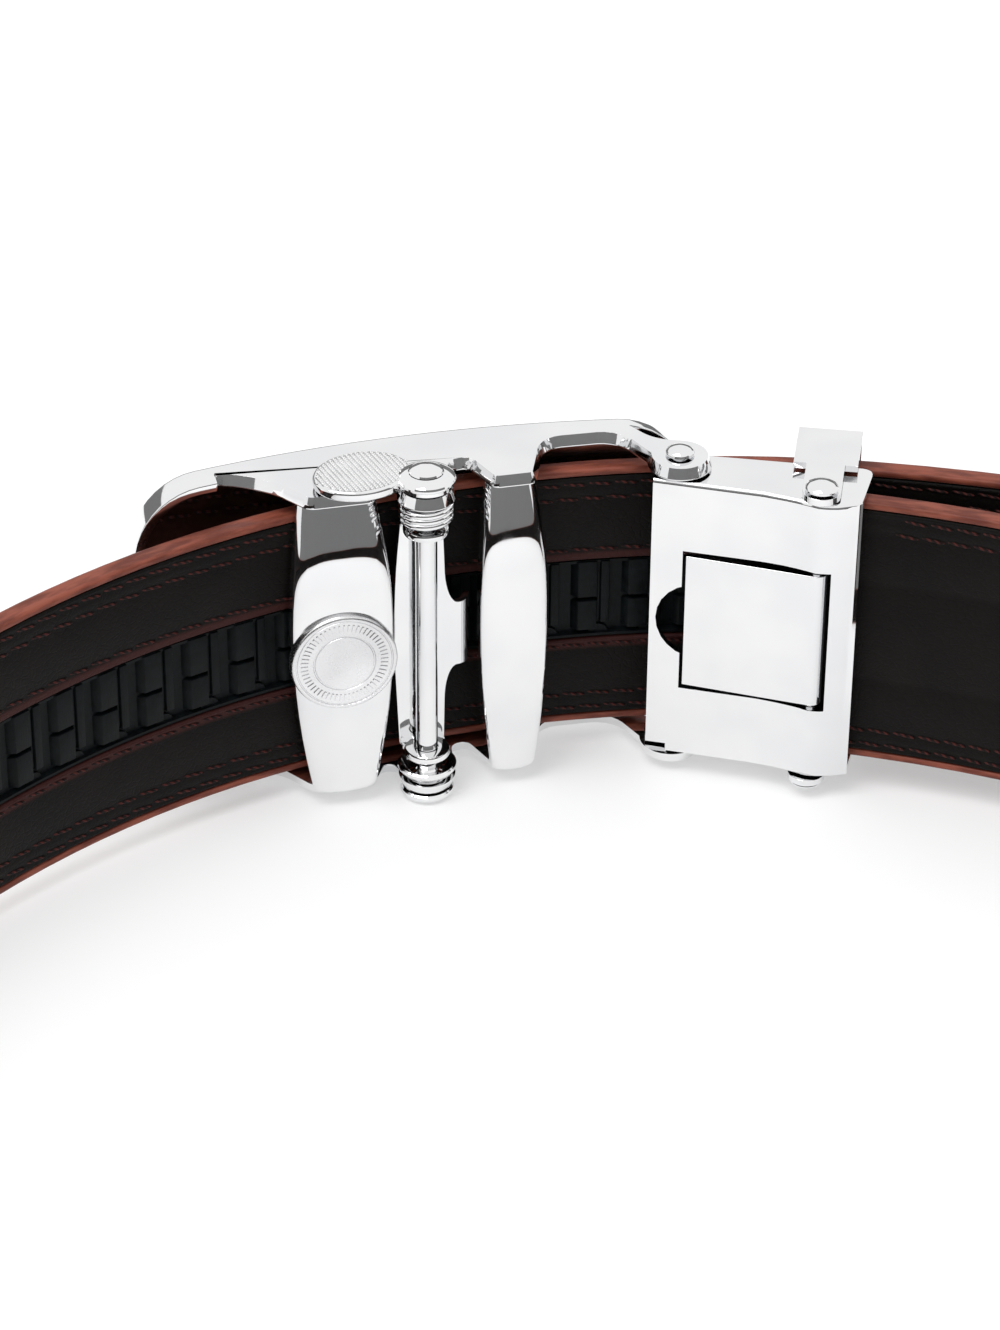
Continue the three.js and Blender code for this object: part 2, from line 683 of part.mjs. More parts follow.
// Bail about the clamp's pin: two T-shaped arms and a plain plate outside the tail
function tailKeeper() {
  const keeperReach = tailOuterFace() + partGap;
  const arm = new THREE.Shape();
  arm.absarc(0, 0, armHalf, Math.PI, 2 * Math.PI, false);
  arm.lineTo(armHalf, headStart);
  arm.lineTo(headHalf, headStart);
  arm.lineTo(headHalf, keeperReach + keeperPlate);
  arm.lineTo(-headHalf, keeperReach + keeperPlate);
  arm.lineTo(-headHalf, headStart);
  arm.lineTo(-armHalf, headStart);
  const low = housingLow - partGap - sheet;
  const high = housingTop + partGap + sheet;
  const body = join(upright(arm, low, low + sheet), upright(arm, high - sheet, high),
    block(-headHalf, headHalf, keeperReach, keeperReach + keeperPlate, low, high));
  return cut(body, post(clampPinRadius + pinPlay, 0, high + 1)).rotateZ(keeperTurn * degree)
    .translate(flapPinX, flapPinY, 0);
}

// Scene graph

function piece(name, geometry, color, roughness, metalness) {
  const mesh = new THREE.Mesh(geometry, new THREE.MeshStandardMaterial({ color, roughness, metalness }));
  mesh.name = name;
  return mesh;
}

function chromePiece(name, geometry) {
  return piece(name, geometry, 0xe8e8ea, 0.12, 1);
}

const belt = new THREE.Group();
belt.add(
  chromePiece('buckle_frame', buckleFrame()),
  chromePiece('medallion', medallion()),
  chromePiece('pivot_pin', pivotPin()),
  chromePiece('pawl', pawlBody()),
  chromePiece('pawl_spring', pawlSpring()),
  chromePiece('release_lever', releaseLever()),
  piece('strap_leather', strapLeather(), 0x6b3528, 0.55, 0),
  piece('strap_lining', strapLining(), 0x231f1c, 0.6, 0),
  piece('ratchet_track', ratchetTrack(), 0x1c2226, 0.5, 0),
);

const clamp = new THREE.Group();
clamp.position.set(earX, earY, 0);
clamp.rotation.z = clampAngle;
clamp.add(
  chromePiece('hinge_rivet_top', hingeRivet(true)),
  chromePiece('hinge_rivet_bottom', hingeRivet(false)),
  chromePiece('clamp_housing', clampHousing()),
  chromePiece('clamp_flap', clampFlap()),
  chromePiece('clamp_pin', clampPin()),
  chromePiece('tail_keeper', tailKeeper()),
);
belt.add(clamp);

// The origin is the middle of the belt's box, on the surface that it stands on
belt.updateMatrixWorld(true);
const box = new THREE.Box3().setFromObject(belt, true);
const middle = box.getCenter(new THREE.Vector3());
belt.position.set(-middle.x, -middle.y, -box.min.z);
belt.updateMatrixWorld(true);

export default belt;
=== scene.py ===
import math

import bmesh
import bpy
from mathutils import Matrix, Vector


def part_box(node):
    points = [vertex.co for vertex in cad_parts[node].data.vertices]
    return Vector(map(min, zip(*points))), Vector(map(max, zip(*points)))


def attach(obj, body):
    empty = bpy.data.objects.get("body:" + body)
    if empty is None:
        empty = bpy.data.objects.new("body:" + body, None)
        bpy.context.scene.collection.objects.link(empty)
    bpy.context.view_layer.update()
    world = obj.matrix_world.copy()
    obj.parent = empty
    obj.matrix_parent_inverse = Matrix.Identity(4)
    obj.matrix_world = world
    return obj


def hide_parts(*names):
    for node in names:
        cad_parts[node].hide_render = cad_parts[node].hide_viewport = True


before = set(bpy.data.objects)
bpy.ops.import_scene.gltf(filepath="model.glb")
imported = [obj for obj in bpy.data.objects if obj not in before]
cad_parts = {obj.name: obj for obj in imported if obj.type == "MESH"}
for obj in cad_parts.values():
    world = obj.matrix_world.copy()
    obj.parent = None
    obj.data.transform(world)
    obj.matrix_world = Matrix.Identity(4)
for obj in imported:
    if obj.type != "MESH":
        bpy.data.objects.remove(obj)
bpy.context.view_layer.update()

# Ratchet belt on edge. Pieces are drawn in millimetres round the pawl's pin, +Y out of the buckle's front.

millimetre = 0.001
pinLow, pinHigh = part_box("pivot_pin")
beltPlace = (Matrix.Translation(((pinLow.x + pinHigh.x) / 2, (pinLow.y + pinHigh.y) / 2, 0))
             @ Matrix.Scale(millimetre, 4))
clampHinge = {"x": 29.9, "y": 0.9, "turn": -26.5}  # mm, mm, degrees
clampPlace = (beltPlace @ Matrix.Translation((clampHinge["x"], clampHinge["y"], 0))
              @ Matrix.Rotation(math.radians(clampHinge["turn"]), 4, "Z"))

scene = bpy.context.scene
scene.view_settings.view_transform = "Standard"


# Camera: fitted to the photograph's upright edges

cameraView = {
    "place": (-85.54, -402.67, 285.11),  # mm from the pin
    "turn": 13.176,  # degrees to the right
    "down": 33.0,
    "roll": 0.45,
    "lens": 114.52,
    "far": 50,  # metres
}


def makeCamera():
    lens = bpy.data.cameras.new("photoCamera")
    lens.lens = cameraView["lens"]
    lens.clip_end = cameraView["far"]
    camera = bpy.data.objects.new("photoCamera", lens)
    scene.collection.objects.link(camera)
    down = math.radians(cameraView["down"])
    turn = math.radians(cameraView["turn"])
    ahead = Vector((math.sin(turn) * math.cos(down), math.cos(turn) * math.cos(down), -math.sin(down)))
    look = ahead.to_track_quat("-Z", "Y").to_matrix().to_4x4()
    roll = Matrix.Rotation(math.radians(cameraView["roll"]), 4, "Z")
    camera.matrix_world = Matrix.Translation(beltPlace @ Vector(cameraView["place"])) @ look @ roll
    scene.camera = camera


makeCamera()
print("camera placed")


# Shader maths: a socket with arithmetic on it

class Wire:
    def __init__(self, tree, socket=None):
        self.tree = tree
        self.socket = socket

    def node(self, kind, settings=None, sockets=None, output=0):
        made = self.tree.nodes.new("ShaderNode" + kind)
        for name, value in (settings or {}).items():
            setattr(made, name, value)
        for name, value in (sockets or {}).items():
            if isinstance(value, Wire):
                self.tree.links.new(value.socket, made.inputs[name])
            else:
                made.inputs[name].default_value = value
        return Wire(self.tree, made.outputs[output])

    def maths(self, operation, first, second=0.0):
        return self.node("Math", {"operation": operation}, {0: first, 1: second})

    def __add__(self, other):
        return self.maths("ADD", self, other)

    def __sub__(self, other):
        return self.maths("SUBTRACT", self, other)

    def __rsub__(self, other):
        return self.maths("SUBTRACT", other, self)

    def __mul__(self, other):
        return self.maths("MULTIPLY", self, other)

    def band(self, low, high):  # 0 below low, 1 above high, or the reverse
        return self.node("MapRange", {"interpolation_type": "SMOOTHSTEP"},
                         {"Value": self, "From Min": low, "From Max": high})

    def mix(self, first, second):  # colours, with this socket as the factor
        return self.node("Mix", {"data_type": "RGBA"}, {0: self, 6: first, 7: second}, 2)

    def noise(self, scale, detail=3.0, stretch=(1, 1, 1), source=None):
        where = source or self.node("TexCoord", output=3)
        if stretch != (1, 1, 1):
            where = self.node("Mapping", sockets={"Vector": where, "Scale": stretch})
        return self.node("TexNoise", sockets={"Vector": where, "Scale": scale, "Detail": detail})

    def bump(self, height, strength, distance):
        return self.node("Bump", sockets={"Height": height, "Strength": strength, "Distance": distance})


def linear(red, green, blue):  # a colour as seen on screen, from 0 to 255
    def channel(value):
        value /= 255
        return value / 12.92 if value <= 0.04045 else ((value + 0.055) / 1.055) ** 2.4
    return (channel(red), channel(green), channel(blue), 1)


def makeMaterial(name, constants, build):
    material = bpy.data.materials.new(name)
    material.use_nodes = True
    shader = material.node_tree.nodes["Principled BSDF"]
    for socket, value in constants.items():
        shader.inputs[socket].default_value = value
    for socket, wire in build(Wire(material.node_tree)).items():
        material.node_tree.links.new(wire.socket, shader.inputs[socket])
    return material


# Metals

chromeFinish = {"bright": (0.85, 0.85, 0.855, 1), "dull": (0.79, 0.795, 0.805, 1), "rough": 0.03}
satinFinish = {"bright": (0.82, 0.82, 0.83, 1), "dull": (0.7, 0.7, 0.71, 1), "rough": 0.2}
# knurl: its dull tone is painted shade, laid in the grooves between the points
knurlShadedFinish = {"bright": (0.97, 0.97, 0.97, 1), "dull": (0.46, 0.46, 0.47, 1), "rough": 0.2}
brushedFinish = {"bright": (0.66, 0.66, 0.67, 1), "dull": (0.5, 0.5, 0.51, 1), "rough": 0.24}
knurl = {"ridge": 0.56, "cross": 0.42, "tilt": 14.3}  # mm, mm, degrees
waveScale = 314.16  # a wave texture of this scale repeats every millimetre


def chromeNodes(wire):
    clouds = wire.noise(90, 2)
    scuffs = wire.noise(420, 4, (1, 1, 0.12)).band(0.52, 0.75)
    ripple = wire.noise(160, 2)
    return {
        "Base Color": clouds.band(0.3, 0.7).mix(chromeFinish["dull"], chromeFinish["bright"]),
        "Roughness": scuffs * 0.05 + clouds * 0.03 + chromeFinish["rough"],
        "Normal": wire.bump(ripple + scuffs * 0.08, 0.12, 0.0002),
    }


def satinNodes(wire):
    clouds = wire.noise(120, 2)
    grain = wire.noise(1500, 3)
    return {
        "Base Color": clouds.band(0.3, 0.7).mix(satinFinish["dull"], satinFinish["bright"]),
        "Roughness": grain * 0.12 + satinFinish["rough"],
        "Normal": wire.bump(grain, 0.15, 0.0001),
    }


def knurlNodes(wire):
    place = wire.node("Mapping", {"vector_type": "POINT"}, {
        "Vector": wire.node("TexCoord", output=3), "Rotation": (0, 0, -math.radians(knurl["tilt"]))})
    across, along = (wire.node("TexWave", {"bands_direction": axis}, {"Vector": place, "Scale": waveScale / pitch}, 1)
                     for axis, pitch in (("X", knurl["ridge"]), ("Y", knurl["cross"])))
    points = across * (along * 0.6 + 0.4)
    haze = wire.noise(300, 3)
    return {
        # painted shade: the grooves between the knurl's points are darker
        "Base Color": (points + haze * 0.2).band(0.06, 0.3).mix(knurlShadedFinish["dull"], knurlShadedFinish["bright"]),
        "Roughness": haze * 0.1 + knurlShadedFinish["rough"],
        "Normal": wire.bump(points, 0.5, 0.0001),
    }


def brushedNodes(wire):
    strokes = wire.noise(2600, 3, (0.02, 1, 1))
    haze = wire.noise(60, 2)
    return {
        "Base Color": (strokes * 0.6 + haze * 0.4).band(0.3, 0.7).mix(brushedFinish["dull"], brushedFinish["bright"]),
        "Roughness": strokes * 0.15 + brushedFinish["rough"],
        "Normal": wire.bump(strokes, 0.2, 0.00006),
    }


metals = [makeMaterial(name, {"Metallic": 1.0}, build) for name, build in (
    ("chromePlate", chromeNodes), ("knurledChrome", knurlNodes), ("satinChrome", satinNodes),
    ("brushedPanel", brushedNodes))]
chrome, knurledChrome, satinChrome, brushedSteel = metals


# Leather, lining, track and thread. strapPlace holds run, height and depth in mm

leatherFinish = {
    "face": linear(58, 29, 21),
    "faceDark": linear(46, 22, 15),
    "edge": linear(134, 72, 56),
    "edgeDark": linear(96, 46, 35),
    "edgeWidth": 0.7,
}
liningFinish = {
    "tone": linear(13, 9, 7),
    "toneDark": linear(7, 4, 3),
    "worn": linear(27, 19, 16),
    "besideTrack": linear(62, 30, 27),  # the rubbed band along the slot
    "besideFrom": (5.0, 5.3),  # mm from the track's middle
    "besideTo": (6.9, 6.3),
    "besideRun": (668, 671),  # mm along the strap, where the slot begins
}
trackFinish = {"tone": linear(10, 16, 18), "toneDark": linear(3, 5, 6)}
# thread: its dark tone is partly random fuzz and partly painted shade in the twist's grooves
threadShadedFinish = {"tone": linear(72, 31, 27), "toneDark": linear(20, 8, 7)}
strapSize = {"width": 34.8, "thick": 2.9}
trackSpan = {"before": 170, "after": 118, "width": 10.4, "drop": 0.4, "gap": 0.3}


def strapPlace(wire):
    return wire.node("Attribute", {"attribute_name": "strapPlace"}, output=1)


def strapAxes(wire, place):  # run, height and depth
    axes = wire.node("SeparateXYZ", sockets={0: place}).socket.node.outputs
    return [Wire(wire.tree, axis) for axis in axes]


def leatherNodes(wire):
    place = strapPlace(wire)
    _, height, depth = strapAxes(wire, place)
    middle = strapSize["width"] / 2
    fromEdge = middle - wire.maths("ABSOLUTE", height - middle)
    edge = fromEdge.band(leatherFinish["edgeWidth"], 0.15)
    inner = depth.band(0.9, 0.3)
    painted = wire.maths("MAXIMUM", edge, inner)
    blotch = wire.noise(0.22, 3, source=place)
    pores = wire.node("TexVoronoi", sockets={"Vector": place, "Scale": 1.5, "Randomness": 1.0})
    grain = pores.band(0.0, 0.55)
    streaks = wire.noise(0.6, 4, (0.35, 1.6, 1.6), source=place)
    face = blotch.band(0.35, 0.65).mix(leatherFinish["faceDark"], leatherFinish["face"])
    rim = streaks.band(0.35, 0.65).mix(leatherFinish["edgeDark"], leatherFinish["edge"])
    return {
        "Base Color": painted.mix(face, rim),
        "Roughness": blotch * 0.2 + 0.36 - painted * 0.04,
        "Normal": wire.bump(grain * (1 - painted * 0.75) + streaks * 0.5, 0.35, 0.00012),
    }


def liningNodes(wire):
    place = strapPlace(wire)
    run, height, _ = strapAxes(wire, place)
    fine = wire.noise(3.2, 4, source=place)
    blotch = wire.noise(0.12, 3, source=place)
    creases = wire.node("TexVoronoi", {"feature": "DISTANCE_TO_EDGE"}, {"Vector": place, "Scale": 1.1})
    tone = blotch.band(0.3, 0.7).mix(liningFinish["toneDark"], liningFinish["tone"])
    worn = fine.band(0.58, 0.85).mix(tone, liningFinish["worn"])
    fromTrack = wire.maths("ABSOLUTE", height - (strapSize["width"] / 2 - trackSpan["drop"]))
    besideTrack = (fromTrack.band(*liningFinish["besideTo"]) * fromTrack.band(*liningFinish["besideFrom"])
                   * run.band(*liningFinish["besideRun"]))
    worn = (besideTrack * 0.75).mix(worn, liningFinish["besideTrack"])
    return {
        "Base Color": worn,
        "Roughness": fine * 0.25 + 0.42,
        "Normal": wire.bump(fine + creases.band(0.0, 0.12) * 0.5, 0.4, 0.00012),
    }


def trackNodes(wire):
    place = strapPlace(wire)
    haze = wire.noise(0.9, 3, source=place)
    draw = wire.noise(2.0, 3, (4, 0.4, 1), source=place)
    return {
        "Base Color": haze.band(0.3, 0.7).mix(trackFinish["toneDark"], trackFinish["tone"]),
        "Roughness": haze * 0.2 + 0.38,
        "Normal": wire.bump(draw, 0.25, 0.0001),
    }


def threadNodes(wire):
    place = strapPlace(wire)
    twist = wire.node("TexWave", {"wave_type": "BANDS", "bands_direction": "DIAGONAL"},
                      {"Vector": place, "Scale": 0.62, "Distortion": 0.4}, 1)
    fuzz = wire.noise(4.0, 3, source=place)
    return {
        # partly random fuzz, partly painted shade darkening the twist's grooves
        "Base Color": (twist * fuzz).band(0.1, 0.5).mix(threadShadedFinish["toneDark"], threadShadedFinish["tone"]),
        "Roughness": fuzz * 0.2 + 0.5,
        "Normal": wire.bump(twist, 0.6, 0.0002),
    }


leather = makeMaterial("brownLeather", {"Specular IOR Level": 0.22}, leatherNodes)
lining = makeMaterial("darkLining", {"Specular IOR Level": 0.14}, liningNodes)
nylon = makeMaterial("trackNylon", {"Specular IOR Level": 0.13}, trackNodes)
thread = makeMaterial("brownThread", {"Specular IOR Level": 0.2}, threadNodes)
print("materials made")


# Mesh helpers

def newVerts(geom):
    return [v for v in geom if isinstance(v, bmesh.types.BMVert)]


def sliceAcross(bm, spots):  # cuts square to X, so that a flat face can bend
    for x in spots:
        bmesh.ops.bisect_plane(bm, geom=bm.verts[:] + bm.edges[:] + bm.faces[:], dist=1e-5,
                               plane_co=(x, 0, 0), plane_no=(1, 0, 0))


def joinPart(bm, part):
    mesh = bpy.data.meshes.new("part")
    part.to_mesh(mesh)
    part.free()
    bm.from_mesh(mesh)
    bpy.data.meshes.remove(mesh)


def roundEdges(bm, width, segments=2, limit=30, test=None):
    edges = [edge for edge in bm.edges if edge.is_manifold
             and edge.calc_face_angle(0) > math.radians(limit) and (not test or test(edge))]
    bmesh.ops.bevel(bm, geom=edges, offset=width, offset_type="OFFSET", affect="EDGES",
                    segments=segments, profile=0.5, clamp_overlap=True, material=-1)


def finishPiece(name, bm, place, material, nodes, body="belt", smooth=32):
    bmesh.ops.remove_doubles(bm, verts=bm.verts, dist=1e-4)
    bmesh.ops.delete(bm, geom=[edge for edge in bm.edges if not edge.link_faces], context="EDGES")
    bmesh.ops.recalc_face_normals(bm, faces=bm.faces)
    openEdges = sum(1 for edge in bm.edges if not edge.is_manifold)
    if openEdges:
        print("open edges on", name, openEdges)
    bm.transform(place)
    mesh = bpy.data.meshes.new(name)
    bm.to_mesh(mesh)
    bm.free()
    mesh.shade_smooth()
    mesh.set_sharp_from_angle(angle=math.radians(smooth))
    mesh.materials.append(material)
    piece = bpy.data.objects.new(name, mesh)
    scene.collection.objects.link(piece)
    if material in metals:  # flat faces stay flat beside their rounded edges
        piece.modifiers.new("flatFaces", "WEIGHTED_NORMAL").keep_sharp = True
    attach(piece, body)
    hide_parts(*nodes)


# A flat face with corners (x, y, rounding), upright between two heights
def plateFromPlan(corners, low, high, segments=5):
    bm = bmesh.new()
    verts = [bm.verts.new((x, y, low)) for x, y, *_ in corners]
    bm.faces.new(verts)
    for vert, corner in zip(verts, corners):
        if len(corner) > 2 and corner[2]:
            bmesh.ops.bevel(bm, geom=[vert], offset=corner[2], offset_type="OFFSET", affect="VERTICES",
                            segments=segments, profile=0.5, clamp_overlap=True)
    made = bmesh.ops.extrude_face_region(bm, geom=bm.faces[:])
    bmesh.ops.translate(bm, vec=(0, 0, high - low), verts=newVerts(made["geom"]))
    return bm


def arcCorners(x, y, radius, start, end, steps):
    return [(x + radius * math.cos(math.radians(start + (end - start) * i / steps)),
             y + radius * math.sin(math.radians(start + (end - start) * i / steps))) for i in range(steps + 1)]


# A turned piece from a profile of radius and height; the axis is upright
def turnedPiece(bm, profile, centre=(0, 0, 0), steps=48, turn=None):
    verts = [bm.verts.new((radius, 0, height)) for radius, height in profile]
    edges = [bm.edges.new(pair) for pair in zip(verts, verts[1:])]
    old = set(bm.verts) - set(verts)
    bmesh.ops.spin(bm, geom=verts + edges, cent=(0, 0, 0), axis=(0, 0, 1), dvec=(0, 0, 0),
                   angle=math.tau, steps=steps, use_merge=True, use_duplicate=False)
    new = [v for v in bm.verts if v not in old]
    if turn:
        bmesh.ops.transform(bm, matrix=turn, verts=new)
    bmesh.ops.translate(bm, vec=centre, verts=new)


def addBlock(bm, low, high):
    size = [b - a for a, b in zip(low, high)]
    middle = [(a + b) / 2 for a, b in zip(low, high)]
    matrix = Matrix.Translation(middle) @ Matrix.Diagonal((*size, 1))
    return bmesh.ops.create_cube(bm, size=1, matrix=matrix)["verts"]


# Strap: sections swept along the same arcs as the solid strap

strapPath = {
    "start": (36.7025, -3.3855),
    "heading": -26.5,
    "legs": [(0, 16), (155.728, 93.5), (125, 120), (161.709, 85), (113, 35), (113, 21), (170, 37.748)],
    "step": 2.0,  # degrees of turn in one facet
    "straightStep": 4.0,
}
lift = {"clamp": 4.2, "buckle": 3.4, "length": 170, "straight": 16, "apexBack": 33}
tip = {"radius": 17.0, "near": 1.3, "parts": 4, "least": 0.12}  # near: radii from the end with finer facets


def strapLegs():
    legs = []
    run = 0
    for radius, turn in strapPath["legs"]:
        length = turn if not radius else radius * math.radians(turn)
        legs.append((run, run + length, radius))
        run += length
    return legs


legs = strapLegs()
strapEnd = legs[-1][1]
apexRun = legs[-2][0]
trackStart = apexRun - trackSpan["before"]
trackEnd = apexRun + trackSpan["after"]


def smoothStep(value, low, high):
    share = min(max((value - low) / (high - low), 0), 1)
    return share * share * (3 - 2 * share)


def liftAt(run):
    fromClamp = smoothStep(run, lift["straight"], lift["length"])
    toBuckle = smoothStep(run, apexRun - lift["length"], apexRun - lift["apexBack"])
    return lift["clamp"] * (1 - fromClamp) + lift["buckle"] * toBuckle


# Place and heading of the strap's inner face at a run length
def strapAt(run):
    x, y = strapPath["start"]
    heading = math.radians(strapPath["heading"])
    for start, end, radius in legs:
        reach = min(run, end) - start
        if reach <= 0:
            break
        if radius:
            turned = heading - reach / radius
            x += radius * (math.sin(heading) - math.sin(turned))
            y += radius * (math.cos(turned) - math.cos(heading))
            heading = turned
        else:
            x += reach * math.cos(heading)
            y += reach * math.sin(heading)
    return Vector((x, y, 0)), heading


def strapFrame(run):  # matrix: x along the strap, y outwards, z up from the strap's lower edge
    place, heading = strapAt(run)
    return Matrix.Translation(place + Vector((0, 0, liftAt(run)))) @ Matrix.Rotation(heading, 4, "Z")


# Half height of the strap near its rounded tip, as a share of the full one
def tipShare(run):
    left = strapEnd - run
    if left >= tip["radius"]:
        return 1.0
    return max(math.sqrt(tip["radius"] ** 2 - (tip["radius"] - left) ** 2) / tip["radius"], tip["least"])


def sweepStrap(profile, fromRun, toRun):
    bm = bmesh.new()
    layer = bm.verts.layers.float_vector.new("strapPlace")
    place, heading = strapAt(fromRun)
    across = Vector((-math.sin(heading), math.cos(heading), 0))
    ring = [bm.verts.new(place + across * depth + Vector((0, 0, height))) for depth, height in profile]
    for vert, (depth, height) in zip(ring, profile):
        vert[layer] = (fromRun, height, depth)
    edges = [bm.edges.new((ring[i - 1], ring[i])) for i in range(len(ring))]
    run = fromRun
    for start, end, radius in legs:
        length = min(end, toRun) - run
        if length <= 0:
            continue
        facet = radius * math.radians(strapPath["step"]) if radius else strapPath["straightStep"]
        steps = max(1, math.ceil(length / facet))
        for _ in range(steps):
            parts = tip["parts"] if strapEnd - run < tip["radius"] * tip["near"] else 1
            for _ in range(parts):
                stride = length / steps / parts
                place, heading = strapAt(run)
                if radius:
                    centre = place + radius * Vector((math.sin(heading), -math.cos(heading), 0))
                    made = bmesh.ops.spin(bm, geom=edges, cent=centre, axis=(0, 0, 1), dvec=(0, 0, 0),
                                          angle=-stride / radius, steps=1, use_duplicate=False)["geom_last"]
                else:
                    made = bmesh.ops.extrude_edge_only(bm, edges=edges)["geom"]
                    along = Vector((math.cos(heading), math.sin(heading), 0)) * stride
                    bmesh.ops.translate(bm, vec=along, verts=newVerts(made))
                run += stride
                news = newVerts(made)
                for vert in news:
                    vert[layer] = (run, vert[layer][1], vert[layer][2])
                fresh = set(news)
                edges = [e for e in made if isinstance(e, bmesh.types.BMEdge)
                         and e.verts[0] in fresh and e.verts[1] in fresh]
    bmesh.ops.holes_fill(bm, edges=[edge for edge in bm.edges if edge.is_boundary], sides=0)
    half = strapSize["width"] / 2
    for vert in bm.verts:
        run = vert[layer][0]
        vert.co.z = half + (vert.co.z - half) * tipShare(run) + liftAt(run)
    return bm


strapShell = {"bead": 0.9, "pocket": 1.5, "innerRound": 0.42, "outerRound": 1.15, "groove": 0.13, "grooveHalf": 0.45,
              "outerLines": (2.2, 4.1)}
liningPanel = {"bottom": 1.02, "thick": 1.3, "groove": 0.16, "grooveHalf": 0.55, "lines": (2.0, 3.9, 10.8),
               "overTrack": 0.3, "trackGap": 0.35, "tipGap": 1.2}


def buildStrapShell():
    width, thick = strapSize["width"], strapSize["thick"]
    bead, pocket = strapShell["bead"], strapShell["pocket"]
    inner, outer = strapShell["innerRound"], strapShell["outerRound"]
    profile = arcCorners(inner, inner, inner, 180, 270, 4)
    profile += arcCorners(thick - outer, outer, outer, 270, 360, 5)
    lines = [*strapShell["outerLines"], *(width - line for line in reversed(strapShell["outerLines"]))]
    spread = strapShell["grooveHalf"]
    for line in lines:
        profile += [(thick, line - spread), (thick - strapShell["groove"], line), (thick, line + spread)]
    profile += arcCorners(thick - outer, width - outer, outer, 0, 90, 5)
    profile += arcCorners(inner, width - inner, inner, 90, 180, 4)
    profile += [(0.0, width - bead + 0.12), (0.14, width - bead), (pocket, width - bead),
                (pocket, bead), (0.14, bead), (0.0, bead - 0.12)]
    bm = sweepStrap(profile, 0, strapEnd)
    finishPiece("strapLeather", bm, beltPlace, leather, ["strap_leather"], smooth=50)


def liningProfile(bottom, top, lines):
    thick, groove, spread = (liningPanel[k] for k in ("thick", "groove", "grooveHalf"))
    points = [(0.3, bottom), (thick, bottom), (thick, top), (0.3, top), (0.08, top - 0.12), (0, top - 0.35)]
    for line in sorted(lines, reverse=True):
        points += [(0, line + spread), (groove, line), (0, line - spread)]
    return points + [(0, bottom + 0.35), (0.08, bottom + 0.12)]


def buildLining():
    width, low = strapSize["width"], liningPanel["bottom"]
    over, gap = liningPanel["overTrack"], liningPanel["trackGap"]
    slotLow = (width - trackSpan["width"]) / 2 - trackSpan["drop"] - trackSpan["gap"]
    slotHigh = slotLow + trackSpan["width"] + 2 * trackSpan["gap"]
    lowLines = list(liningPanel["lines"])
    highLines = [width - line for line in lowLines]
    whole = liningProfile(low, width - low, lowLines + highLines)
    pieces = {
        "liningLow": (liningProfile(low, slotLow, lowLines), trackStart - over, trackEnd + over),
        "liningHigh": (liningProfile(slotHigh, width - low, highLines), trackStart - over, trackEnd + over),
        "liningClampEnd": (whole, 0, trackStart - gap),
        "liningTail": (whole, trackEnd + gap, strapEnd - liningPanel["tipGap"]),
    }
    for name, (profile, start, end) in pieces.items():
        bm = sweepStrap(profile, start, end)
        finishPiece(name, bm, beltPlace, lining, ["strap_lining"], smooth=50)


toothCell = {"pitch": 6.0, "phase": -0.4, "root": 1.0, "crest": 0.2, "back": 1.28}


